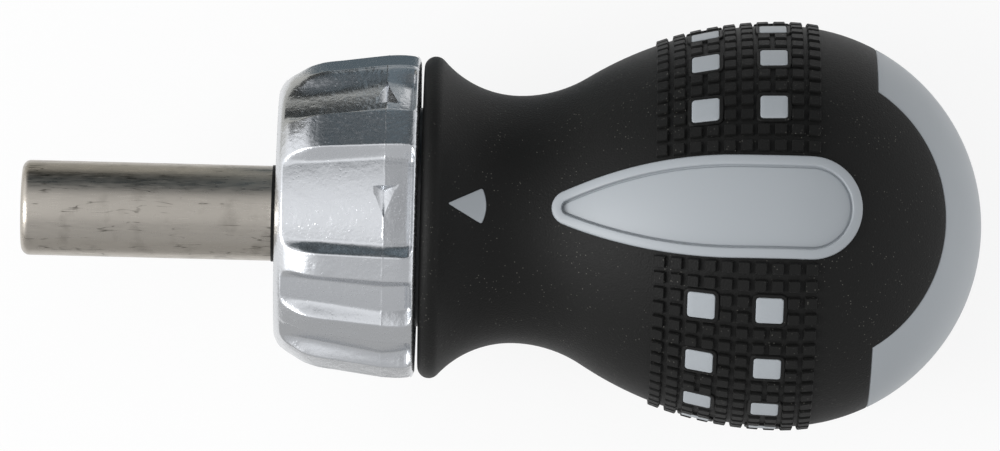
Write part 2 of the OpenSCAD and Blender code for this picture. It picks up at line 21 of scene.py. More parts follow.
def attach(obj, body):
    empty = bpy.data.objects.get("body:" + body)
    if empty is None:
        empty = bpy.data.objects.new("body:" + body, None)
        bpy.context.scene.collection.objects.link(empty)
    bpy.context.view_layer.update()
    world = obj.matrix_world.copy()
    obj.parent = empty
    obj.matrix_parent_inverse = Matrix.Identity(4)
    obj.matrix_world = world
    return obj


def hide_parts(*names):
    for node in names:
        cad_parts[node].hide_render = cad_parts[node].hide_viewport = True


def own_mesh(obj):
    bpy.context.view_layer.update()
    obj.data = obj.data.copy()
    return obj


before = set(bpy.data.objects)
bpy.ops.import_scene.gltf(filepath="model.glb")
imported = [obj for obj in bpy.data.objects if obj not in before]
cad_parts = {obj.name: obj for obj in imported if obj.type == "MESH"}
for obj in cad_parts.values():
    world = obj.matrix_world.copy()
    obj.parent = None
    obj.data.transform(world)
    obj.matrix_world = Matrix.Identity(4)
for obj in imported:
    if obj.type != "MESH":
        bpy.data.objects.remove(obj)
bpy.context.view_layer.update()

log = logging.getLogger("screwdriver")
MM = 0.001
# A quarter turn in radians
QUARTER = math.pi / 2
# Edges between faces that meet at more degrees than this stay sharp: on hard, soft and cast pieces
HARD_EDGE, SOFT_EDGE, CAST_EDGE = 35.0, 40.0, 50.0
WHITE = (1.0, 1.0, 1.0, 1.0)
MATH, RANGE, MIX = "ShaderNodeMath", "ShaderNodeMapRange", "ShaderNodeMix"
NOISE, CELLS, STRETCH = "ShaderNodeTexNoise", "ShaderNodeTexVoronoi", "ShaderNodeMapping"
VECTOR = "ShaderNodeCombineXYZ"

# Short names for the types that the signatures use
Piece = bpy.types.Object
Material = bpy.types.Material
Tree = bpy.types.NodeTree
Node = bpy.types.Node
Socket = bpy.types.NodeSocket
Inputs = dict[str | int, object]
Layer = tuple[bpy.types.Node, float, float]
Plan = list[tuple[float, float]]
Rows = tuple[tuple[float, float], ...]


class Side(Enum):
    """The two sides of the handle that carry a label and an arrow, as angles in degrees."""

    LABEL = 0.0
    BACK = 180.0


class Turn(Enum):
    """The way that a selector mark points round the collar."""

    TIGHTEN = -1
    LOOSEN = 1


class Cut(Enum):
    """What a second shape does to a piece."""

    JOIN = "UNION"
    TAKE_AWAY = "DIFFERENCE"


# Places and meshes


def on_frame(s: np.ndarray, r: np.ndarray, angle: np.ndarray) -> np.ndarray:
    """Turn places round the axis into points of the frame.

    Args:
        s: Places along the axis, in mm.
        r: Distances from the axis, in mm.
        angle: Angles from the label line toward +Y, in radians.

    Returns:
        Points in metres, with one more dimension of three.
    """
    s, r, angle = np.broadcast_arrays(s, r, angle)
    return np.stack([s, r * np.sin(angle), r * np.cos(angle)], axis=-1) * MM


def ease(t: np.ndarray) -> np.ndarray:
    """Return a smooth step from 0 to 1."""
    t = np.clip(t, 0.0, 1.0)
    return t * t * (3.0 - 2.0 * t)


def arc(s: float, y: float, radius: float, start: float, stop: float, count: int, last: bool = True) -> Plan:
    """Return places along an arc.

    Args:
        s: Place of its centre along the axis, in mm.
        y: Place of its centre across, in mm.
        radius: Its radius in mm.
        start: Angle where it starts, in radians.
        stop: Angle where it stops.
        count: Number of places.
        last: Whether the place at the stop is one of them.

    Returns:
        (s, y) places in mm.
    """
    angles = np.linspace(start, stop, count, endpoint=last)
    return [(s + radius * math.cos(n), y + radius * math.sin(n)) for n in angles]


def curve_through(x: np.ndarray, places: np.ndarray, values: np.ndarray) -> np.ndarray:
    """Return the values at x of a smooth curve through a row of places.

    Args:
        x: Where the curve is wanted.
        places: Rising places of the given values.
        values: The values there.

    Returns:
        One value for each x.
    """
    steps = np.diff(places)
    rise = np.diff(values) / steps
    between = (rise[:-1] * steps[1:] + rise[1:] * steps[:-1]) / (steps[1:] + steps[:-1])
    slopes = np.concatenate([rise[:1], between, rise[-1:]])
    k = np.clip(np.searchsorted(places, x) - 1, 0, len(steps) - 1)
    h = steps[k]
    u = np.clip((x - places[k]) / h, 0.0, 1.0)
    start = (1 + 2 * u) * (1 - u) ** 2 * values[k] + u * (1 - u) ** 2 * h * slopes[k]
    return start + u**2 * (3 - 2 * u) * values[k + 1] + u**2 * (u - 1) * h * slopes[k + 1]


def link(name: str, data: bpy.types.ID) -> Piece:
    """Put a new object in the scene.

    Args:
        name: The object's name.
        data: What it shows: a mesh, a camera or a light.

    Returns:
        The new object.
    """
    thing = bpy.data.objects.new(name, data)
    bpy.context.scene.collection.objects.link(thing)
    return thing


def remove(piece: Piece) -> None:
    """Delete an object and its mesh.

    Args:
        piece: The object.
    """
    mesh = piece.data
    bpy.data.objects.remove(piece)
    bpy.data.meshes.remove(mesh)


def settle(mesh: bpy.types.Mesh, name: str, material: Material, sharp: float) -> Piece:
    """Merge a mesh's doubles, turn its faces outward, shade it and put it in the scene.

    Args:
        mesh: The mesh, which is changed.
        name: Name of the piece.
        material: Its material.
        sharp: Edges between faces that meet at more than this many degrees stay sharp.

    Returns:
        The piece, at the origin.
    """
    work = bmesh.new()
    work.from_mesh(mesh)
    bmesh.ops.remove_doubles(work, verts=work.verts, dist=1e-7)
    bmesh.ops.dissolve_degenerate(work, edges=work.edges, dist=1e-8)
    bmesh.ops.recalc_face_normals(work, faces=work.faces)
    work.to_mesh(mesh)
    work.free()
    mesh.shade_smooth()
    mesh.set_sharp_from_angle(angle=math.radians(sharp))
    mesh.materials.clear()
    mesh.materials.append(material)
    return link(name, mesh)


@dataclass
class Draft:
    """Points in metres and faces of a piece, gathered surface by surface before they become one mesh."""

    points: list[np.ndarray] = field(default_factory=list)
    faces: list[tuple[int, ...]] = field(default_factory=list)
    count: int = 0

    def add(self, points: np.ndarray) -> int:
        """Add points.

        Args:
            points: Points in metres, in an array of any shape.

        Returns:
            The number of the first one.
        """
        start = self.count
        flat = np.asarray(points, float).reshape(-1, 3)
        self.points.append(flat)
        self.count += len(flat)
        return start

    def sheet(self, points: np.ndarray, wrap_rows: bool = False, wrap_cols: bool = False) -> int:
        """Add a grid of points joined by quads.

        Args:
            points: Array of rows by columns by three.
            wrap_rows: Join the last row to the first.
            wrap_cols: Join the last column to the first.

        Returns:
            The number of the grid's first point.
        """
        rows, cols = points.shape[:2]
        start = self.add(points)
        for i in range(rows if wrap_rows else rows - 1):
            here, below = start + i * cols, start + (i + 1) % rows * cols
            for j in range(cols if wrap_cols else cols - 1):
                right = (j + 1) % cols
                self.faces.append((here + j, here + right, below + right, below + j))
        return start

    def capped(self, rings: Sequence[np.ndarray], first: np.ndarray, last: np.ndarray) -> None:
        """Add a closed body from rings of points, with a fan of triangles over each end.

        Args:
            rings: Rings with equal numbers of points.
            first: The point in the middle of the first end.
            last: The point in the middle of the last end.
        """
        start = self.sheet(np.stack(rings), wrap_cols=True)
        count = len(rings[0])
        for ring, tip in ((start, first), (start + (len(rings) - 1) * count, last)):
            apex = self.add(tip)
            self.faces += [(ring + j, ring + (j + 1) % count, apex) for j in range(count)]

    def turned(self, outline: Plan, sides: int) -> "Draft":
        """Add a closed turned body.

        Args:
            outline: Closed outline of (s, r) places in mm. Places with r of 0 become single points.
            sides: Number of facets round the axis.

        Returns:
            The draft itself.
        """
        angles = np.arange(sides) * 2.0 * math.pi / sides
        starts = [(self.add(on_frame(s, r, angles if r else np.zeros(1))), r == 0) for s, r in outline]
        for (a, a_tip), (b, b_tip) in zip(starts, starts[1:] + starts[:1]):
            for j in range(sides):
                k = (j + 1) % sides
                if a_tip and not b_tip:
                    self.faces.append((a, b + j, b + k))
                elif b_tip and not a_tip:
                    self.faces.append((a + j, b, a + k))
                elif not a_tip:
                    self.faces.append((a + j, b + j, b + k, a + k))
        return self

    def finish(self, name: str, material: Material, sharp: float = HARD_EDGE) -> Piece:
        """Make the object.

        Args:
            name: Name of the piece.
            material: Its material.
            sharp: Edges between faces that meet at more than this many degrees stay sharp.

        Returns:
            An object at the origin, with closed seams and outward normals.
        """
        mesh = bpy.data.meshes.new(name)
        mesh.from_pydata(np.concatenate(self.points).tolist(), [], self.faces)
        return settle(mesh, name, material, sharp)


def prism(s: float, sides: int, radius: float, length: float, first: float = 0.0) -> Draft:
    """Return a closed prism along the axis.

    Args:
        s: Where it starts, in mm.
        sides: Number of its sides.
        radius: Distance of its corners from the axis, in mm.
        length: Its length in mm.
        first: Angle of its first corner, in degrees.

    Returns:
        A draft of the prism.
    """
    draft = Draft()
    angles = np.arange(sides) * 2.0 * math.pi / sides + math.radians(first)
    start = draft.sheet(np.stack([on_frame(end, radius, angles) for end in (s, s + length)]), wrap_cols=True)
    draft.faces += [tuple(range(ring, ring + sides)) for ring in (start, start + sides)]
    return draft


def evaluated(piece: Piece) -> bpy.types.Mesh:
    """Return the mesh that a piece has with its modifiers, as a new plain mesh."""
    depsgraph = bpy.context.evaluated_depsgraph_get()
    return bpy.data.meshes.new_from_object(piece.evaluated_get(depsgraph), depsgraph=depsgraph)


def carve(piece: Piece, tool: Piece, cut: Cut, sharp: float) -> None:
    """Join or cut a piece's shape with another closed piece, which is used up.

    Args:
        piece: The piece that changes.
        tool: The closed shape that it is combined with.
        cut: What the tool does to the piece.
        sharp: Angle in degrees above which the new edges stay sharp.
    """
    modifier = piece.modifiers.new("carve", "BOOLEAN")
    modifier.object = tool
    modifier.operation = cut.value
    modifier.solver = "EXACT"
    mesh = evaluated(piece)
    piece.modifiers.remove(modifier)
    old = piece.data
    piece.data = mesh
    bpy.data.meshes.remove(old)
    remove(tool)
    mesh.shade_smooth()
    mesh.set_sharp_from_angle(angle=math.radians(sharp))


def crisp_cut(piece: Piece, angle: float) -> None:
    """Keep the edges sharp round faces that a cut left in the second material slot, then drop that slot.

    Args:
        piece: The piece that was cut.
        angle: Angle in degrees above which edges between the cut's own faces stay sharp.
    """
    work = bmesh.new()
    work.from_mesh(piece.data)
    for edge in work.edges:
        slots = [face.material_index for face in edge.link_faces]
        if 1 in slots and (0 in slots or edge.calc_face_angle(0.0) > math.radians(angle)):
            edge.smooth = False
    for face in work.faces:
        face.material_index = 0
    work.to_mesh(piece.data)
    work.free()
    while len(piece.data.materials) > 1:
        piece.data.materials.pop(index=1)


# Nodes


def bare_tree(owner: Material | bpy.types.World) -> Tree:
    """Empty the node tree of a material or world.

    Args:
        owner: The material or world.

    Returns:
        Its tree, with no node in it.
    """
    owner.use_nodes = True
    owner.node_tree.nodes.clear()
    return owner.node_tree


def add_node(tree: Tree, kind: str, inputs: Inputs | None = None, **settings: object) -> Node:
    """Add a node with its settings, values and links.

    Args:
        tree: The tree that the node goes in.
        kind: The node's type name.
        inputs: A value, a socket, or a node that gives its first output, for inputs by name or number.
        **settings: Properties of the node itself.

    Returns:
        The new node.
    """
    node = tree.nodes.new(kind)
    for name, value in settings.items():
        setattr(node, name, value)
    for key, value in (inputs or {}).items():
        if isinstance(value, Node):
            value = value.outputs[0]
        if isinstance(value, Socket):
            tree.links.new(value, node.inputs[key])
        else:
            node.inputs[key].default_value = value
    return node


def add_table(tree: Tree, named: dict[str, object], rows: Sequence[tuple]) -> None:
    """Add nodes from a table, where a node may work on what stands above it.

    Args:
        tree: The tree that the nodes go in.
        named: Values, sockets and nodes by name, to which every row adds its node.
        rows: For each node its name, its kind, its operation or nothing, and its inputs: numbers or names.
    """
    for name, kind, operation, *inputs in rows:
        given = {key: named[value] if isinstance(value, str) else value for key, value in enumerate(inputs)}
        named[name] = add_node(tree, kind, given, **({"operation": operation} if operation else {}))


def linear(colour: str) -> tuple[float, float, float, float]:
    """Turn an sRGB hex colour such as #a0a6aa into the linear values that shaders use."""
    values = [int(colour[i : i + 2], 16) / 255.0 for i in (1, 3, 5)]
    return (*[v / 12.92 if v <= 0.04045 else ((v + 0.055) / 1.055) ** 2.4 for v in values], 1.0)


def per_metre(size: float) -> float:
    """Return the texture scale whose features are about size mm across."""
    return 1.0 / (size * MM)


def geometry_tree(name: str, inputs: dict[str, str]) -> tuple[Tree, Node, Node]:
    """Start a geometry tree.

    Args:
        name: Name of the tree.
        inputs: Socket types of its named inputs, after the geometry.

    Returns:
        The tree, its group input and its group output.
    """
    tree = bpy.data.node_groups.new(name, "GeometryNodeTree")
    tree.is_modifier = True
    for label, kind in ({"Geometry": "NodeSocketGeometry"} | inputs).items():
        tree.interface.new_socket(name=label, in_out="INPUT", socket_type=kind)
    tree.interface.new_socket(name="Geometry", in_out="OUTPUT", socket_type="NodeSocketGeometry")
    return tree, add_node(tree, "NodeGroupInput"), add_node(tree, "NodeGroupOutput")


def end_tree(tree: Tree, result: Node, copies: dict[str, object], material: Socket) -> None:
    """End a geometry tree: set a copy on every point, make the copies real and dress them.

    Args:
        tree: The tree.
        result: Its group output.
        copies: The points, the instance and its rotation.
        material: Socket that holds the material.
    """
    spread = add_node(tree, "GeometryNodeInstanceOnPoints", copies)
    real = add_node(tree, "GeometryNodeRealizeInstances", {"Geometry": spread})
    dress = add_node(tree, "GeometryNodeSetMaterial", {"Geometry": real, "Material": material})
    tree.links.new(dress.outputs[0], result.inputs[0])


def run_tree(source: Piece, tree: Tree, values: dict[str, object], name: str, sharp: float) -> Piece:
    """Run a geometry tree on an object and keep the result as a plain mesh.

    Args:
        source: The object that the tree works on; it is used up.
        tree: The geometry tree.
        values: Values for the tree's named inputs.
        name: Name of the new piece.
        sharp: Angle in degrees above which edges stay sharp.

    Returns:
        The new piece.
    """
    modifier = source.modifiers.new(name, "NODES")
    modifier.node_group = tree
    for item in tree.interface.items_tree:
        if item.item_type == "SOCKET" and item.in_out == "INPUT" and item.name in values:
            modifier[item.identifier] = values[item.name]
    mesh = evaluated(source)
    source.modifiers.remove(modifier)
    remove(source)
    return settle(mesh, name, next(m for m in mesh.materials if m), sharp)


# Finishes


@dataclass
class Surface:
    """A material in the making, with its tree, its shader and the piece's own coordinates."""

    material: Material
    tree: Tree
    shader: Node
    place: Socket

    def add(self, kind: str, inputs: Inputs, **settings: object) -> Node:
        """Add a node to the material and return it."""
        return add_node(self.tree, kind, inputs, **settings)

    def grain(self, rough: Layer, *reliefs: Layer, start: float = 0.0, stop: float = 1.0) -> Material:
        """Let the roughness follow a texture, and raise a relief from textures, one on top of the other.

        Args:
            rough: The texture that the roughness follows, and the roughness where it is low and high.
            *reliefs: (texture, strength, height in mm) of each relief.
            start: Value of the texture at which the roughness starts to change.
            stop: Value at which it stops.

        Returns:
            The finished material.
        """
        texture, low, high = rough
        span = {"Value": texture, "From Min": start, "From Max": stop, "To Min": low, "To Max": high}
        self.tree.links.new(self.add(RANGE, span).outputs[0], self.shader.inputs["Roughness"])
        below: dict[str, Node] = {}
        for height, strength, rise in reliefs:
            bump = {"Height": height, "Strength": strength, "Distance": rise * MM} | below
            below = {"Normal": self.add("ShaderNodeBump", bump)}
        self.tree.links.new(below["Normal"].outputs[0], self.shader.inputs["Normal"])
        return self.material


@dataclass(frozen=True)
class Finish:
    """A finish: what the material is and how its surface was made."""

    name: str
    colour: str
    roughness: float
    metallic: float = 0.0

    def start(self) -> Surface:
        """Make the material with its shader and nothing else.

        Returns:
            The material, ready for its patterns.
        """
        material = bpy.data.materials.new(self.name)
        tree = bare_tree(material)
        inputs = {"Base Color": linear(self.colour), "Roughness": self.roughness, "Metallic": self.metallic}
        shader = add_node(tree, "ShaderNodeBsdfPrincipled", inputs)
        add_node(tree, "ShaderNodeOutputMaterial", {"Surface": shader})
        return Surface(material, tree, shader, add_node(tree, "ShaderNodeTexCoord").outputs["Object"])

    def build(self) -> Material:
        """Make the material; the plain case has a fine, even grain.

        Returns:
            The finished material.
        """
        surface = self.start()
        grain = surface.add(NOISE, {"Vector": surface.place, "Scale": per_metre(0.35), "Detail": 3.0})
        rough = (grain, self.roughness * 0.75, min(1.0, self.roughness * 1.3))
        return surface.grain(rough, (grain, 0.25, 0.01))


@dataclass(frozen=True)
class TurnedSteel(Finish):
    """Lathe-turned steel: fine rings round the axis, handling scratches and faint darker blotches."""

    # Real turning marks lie closer; these are drawn as coarse as the picture can show
    ring_width: float = 0.12
    scratch_width: float = 0.22
    hairline_width: float = 1.5
    blotch_width: float = 2.6
    dark: str = "#77726a"
    hairline: str = "#4a463f"

    def build(self) -> Material:
        """Make the material with its turning rings, scratches, blotches and hairlines.

        Returns:
            The finished material.
        """
        surface = self.start()
        place = surface.place
        # Rings round the axis: noise that changes only along X. Long scratches from sliding into bit cases
        along = surface.add(STRETCH, {"Vector": place, "Scale": (1.0, 0.02, 0.02)})
        sloping = {"Vector": place, "Scale": (0.12, 1.0, 1.0), "Rotation": (0.0, 0.0, 0.12)}
        slide = surface.add(STRETCH, sloping)
        rings, scratches, blotch, slow = (
            surface.add(NOISE, {"Vector": way, "Scale": per_metre(width), "Detail": detail})
            for way, width, detail in (
                (along, self.ring_width, 4.0),
                (slide, self.scratch_width, 5.0),
                (place, self.blotch_width, 6.0),
                (slide, self.hairline_width, 3.0),
            )
        )
        marks = surface.add(RANGE, {"Value": blotch, "From Min": 0.55, "From Max": 0.8, "To Max": 0.5})
        # Inputs 6 and 7 of a mix are its two colours, which share their names with its numbers
        colours = {"Factor": marks, 6: linear(self.colour), 7: linear(self.dark)}
        tint = surface.add(MIX, colours, data_type="RGBA").outputs[2]
        # Hairline wear marks: the places where a slow noise passes its middle, in a few patches
        named: dict[str, object] = {"slow": slow}
        add_table(surface.tree, named, (
            ("past", MATH, "SUBTRACT", "slow", 0.5),
            ("off", MATH, "ABSOLUTE", "past"),
        ))
        thin = {"Value": named["off"], "From Min": 0.003, "From Max": 0.009, "To Min": 0.7, "To Max": 0.0}
        line = surface.add(RANGE, thin)
        patch = surface.add(RANGE, {"Value": blotch, "From Min": 0.48, "From Max": 0.56})
        hair = surface.add(MATH, {0: line, 1: patch}, operation="MULTIPLY")
        worn = surface.add(MIX, {"Factor": hair, 6: tint, 7: linear(self.hairline)}, data_type="RGBA")
        surface.tree.links.new(worn.outputs[2], surface.shader.inputs["Base Color"])
        rough = (scratches, self.roughness - 0.07, self.roughness + 0.12)
        return surface.grain(rough, (rings, 0.3, 0.012), (scratches, 0.12, 0.01), start=0.3, stop=0.7)


@dataclass(frozen=True)
class CastChrome(Finish):
    """Satin chrome on a zinc casting: bright, with slight orange peel and small pits from the casting."""

    peel: float = 0.34
    pit: float = 0.36
    pit_patch: float = 1.6

    def build(self) -> Material:
        """Make the material with its orange peel and its fine pits.

        Returns:
            The finished material.
        """
        surface = self.start()
        peel, where = (
            surface.add(NOISE, {"Vector": surface.place, "Scale": per_metre(width), "Detail": detail})
            for width, detail in ((self.peel, 2.0), (self.pit_patch, 3.0))
        )
        pits = surface.add(CELLS, {"Vector": surface.place, "Scale": per_metre(self.pit), "Randomness": 1.0})
        spot = surface.add(RANGE, {"Value": pits.outputs["Distance"], "From Min": 0.0, "From Max": 0.3})
        few = surface.add(RANGE, {"Value": where, "From Min": 0.42, "From Max": 0.62, "To Max": 1.0})
        height = surface.add(MATH, {0: spot, 1: few}, operation="MULTIPLY")
        rough = (peel, self.roughness * 0.8, self.roughness * 1.25)
        return surface.grain(rough, (peel, 0.6, 0.03), (height, 0.55, 0.03))


@dataclass(frozen=True)
class SoftRubber(Finish):
    """Moulded thermoplastic rubber: matt, hazy at a glance, with a leathery skin and pale specks of dust."""

    skin: float = 0.2
    speck: float = 0.42
    speck_patch: float = 3.0
    dust: str = "#7b7972"

    def build(self) -> Material:
        """Make the material with its skin, haze and specks.

        Returns:
            The finished material.
        """
        surface = self.start()
        for name, value in (("Sheen Weight", 0.03), ("Sheen Roughness", 0.5), ("Specular IOR Level", 0.2)):
            surface.shader.inputs[name].default_value = value
        skin, cast = (
            surface.add(NOISE, {"Vector": surface.place, "Scale": per_metre(width), "Detail": detail})
            for width, detail in ((self.skin, 3.0), (self.speck_patch, 2.0))
        )
        cells = surface.add(CELLS, {"Vector": surface.place, "Scale": per_metre(self.speck)})
        # Each cell holds one speck at most: the nearest tenth of its width
        near = {"Value": cells.outputs["Distance"], "From Min": 0.08, "From Max": 0.15}
        near |= {"To Min": 1.0, "To Max": 0.0}
        speck = surface.add(RANGE, near)
        some = surface.add(RANGE, {"Value": cast, "From Min": 0.46, "From Max": 0.6, "To Max": 0.7})
        dusty = surface.add(MATH, {0: speck, 1: some}, operation="MULTIPLY")
        colours = {"Factor": dusty, 6: linear(self.colour), 7: linear(self.dust)}
        tint = surface.add(MIX, colours, data_type="RGBA")
        surface.tree.links.new(tint.outputs[2], surface.shader.inputs["Base Color"])
        return surface.grain((skin, self.roughness - 0.08, self.roughness + 0.1), (skin, 0.8, 0.06))


@dataclass(frozen=True)
class MouldedPlastic(Finish):
    """Injection-moulded plastic with a fine spark-eroded grain that keeps it satin."""

    # The real grain is finer; this is drawn as coarse as the picture can show
    grain: float = 0.14
    flow: float = 7.0

    def build(self) -> Material:
        """Make the material with its moulded grain and slight unevenness.

        Returns:
            The finished material.
        """
        surface = self.start()
        grain, flow = (
            surface.add(NOISE, {"Vector": surface.place, "Scale": per_metre(width), "Detail": 2.0})
            for width in (self.grain, self.flow)
        )
        return surface.grain((flow, self.roughness - 0.06, self.roughness + 0.06), (grain, 0.2, 0.02))


@dataclass
class Finishes:
    """Every finish of the tool, built once."""

    steel: Material
    chrome: Material
    rubber: Material
    plastic: Material
    inner: dict[str, Material]

    @classmethod
    def build(cls) -> "Finishes":
        """Build every finish; the inner ones show only when the tool is taken apart.

        Returns:
            All finishes.
        """
        inner = {
            # Hardened and ground: grey and dull. Pressed from powder: a dull gold
            "hardened_steel": Finish("hardened_tool_steel", "#77787a", 0.38, 1.0),
            "bronze": Finish("sintered_bronze", "#b98f52", 0.42, 1.0),
            # Drawn and polished, and plated: both bright
            "spring_steel": Finish("polished_spring_steel", "#c3c5c8", 0.24, 1.0),
            "magnet_plating": Finish("nickel_plated_magnet", "#cfcdc8", 0.22, 1.0),
        }
        return cls(
            steel=TurnedSteel("turned_steel", "#b7b1a8", 0.3, 1.0).build(),
            chrome=CastChrome("satin_chromed_zinc", "#d3d5d8", 0.25, 1.0).build(),
            rubber=SoftRubber("moulded_soft_rubber", "#0f0f0e", 0.56).build(),
            plastic=MouldedPlastic("moulded_grey_abs", "#a0a5a9", 0.45).build(),
            inner={key: finish.build() for key, finish in inner.items()},
        )


# Bit holder


@dataclass
class BitHolder:
    """Turned spindle nose with its hexagon bit socket, driving hexagon and stem."""

    radius: float = 4.95
    barrel_end: float = 26.2
    journal_radius: float = 4.75
    round_edge: float = 0.9
    socket_across: float = 6.45
    socket_depth: float = 13.0
    lead: float = 0.5
    magnet_from: float = 12.0
    magnet_radius: float = 2.85
    magnet_end: float = 16.05
    hex_from: float = 31.9
    hex_to: float = 38.1
    hex_across: float = 8.1
    hex_overlap: float = 0.5
    stem_radius: float = 4.0
    stem_break: float = 0.3
    groove_from: float = 41.65
    groove_to: float = 42.4
    groove_radius: float = 3.4
    end: float = 44.2
    barrel_rows: tuple[float, ...] = (6.0, 13.0, 20.0)
    sides: int = 144

    def outline(self) -> Plan:
        """Set out the turned outline, from the middle of the mouth to the end of the stem.

        Returns:
            Place and radius of each point.
        """
        flat = self.radius - self.round_edge
        outline = [(0.0, 0.0), (0.0, flat)]
        outline += arc(self.round_edge, flat, self.round_edge, math.pi, QUARTER, 13)[1:]
        outline += [(s, self.radius) for s in (*self.barrel_rows, self.barrel_end)]
        outline += [(s, self.journal_radius) for s in (self.barrel_end, self.hex_from)]
        outline += [(s, self.stem_radius) for s in (self.hex_from, self.groove_from)]
        outline += [(s, self.groove_radius) for s in (self.groove_from, self.groove_to)]
        outline += [(s, self.stem_radius) for s in (self.groove_to, self.end - self.stem_break)]
        return outline + [(self.end, self.stem_radius - self.stem_break), (self.end, 0.0)]

    def build(self, finishes: Finishes) -> Piece:
        """Build and dress the bit holder.

        Args:
            finishes: The tool's finishes.

        Returns:
            The dressed piece.
        """
        piece = Draft().turned(self.outline(), self.sides).finish("bit_holder_turned", finishes.steel)
        # A hexagon's corners lie further out than its flats
        corner = 0.5 / math.cos(math.pi / 6)
        drive, socket = self.hex_across * corner, self.socket_across * corner
        drive_from, past = self.hex_from - self.hex_overlap, 1.0
        mouth = [(-0.5, 0.0), (-0.5, socket + self.lead + 0.5), (past, socket - past), (past, 0.0)]
        seat = [(self.magnet_from, 0.0), (self.magnet_from, self.magnet_radius)]
        seat += [(self.magnet_end, self.magnet_radius), (self.magnet_end, 0.0)]
        for name, tool, cut in (
            ("drive", prism(drive_from, 6, drive, self.hex_to - drive_from), Cut.JOIN),
            ("bore", prism(-past, 6, socket, self.socket_depth + past, 90.0), Cut.TAKE_AWAY),
            ("mouth", Draft().turned(mouth, self.sides), Cut.TAKE_AWAY),
            ("seat", Draft().turned(seat, 48), Cut.TAKE_AWAY),
        ):
            carve(piece, tool.finish(name, finishes.steel), cut, HARD_EDGE)
        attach(piece, "spindle")
        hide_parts("bit_holder")
        return piece


# Selector collar


@dataclass
class SealLipShadeLine:
    """Thin black rubber ring just before the collar, drawn as the dust seal's lip: its dark band stands in
    for the shade line where the bit holder enters the collar.
    """

    start: float = 26.05
    end: float = 27.0
    inner: float = 4.96
    outer: float = 5.03
    soft: float = 0.03

    def build(self, finishes: Finishes) -> Piece:
        """Build and dress the lip.

        Args:
            finishes: The tool's finishes.

        Returns:
            The dressed piece.
        """
        outline = [(self.start, self.inner), (self.start, self.outer - self.soft)]
        outline += [(self.start + self.soft, self.outer), (self.end, self.outer), (self.end, self.inner)]
        # The black rubber gives a painted shade line at the collar's mouth as well as the seal's lip
        piece = Draft().turned(outline, 96).finish("dust_seal_lip", finishes.rubber)
        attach(piece, "collar")
        return piece


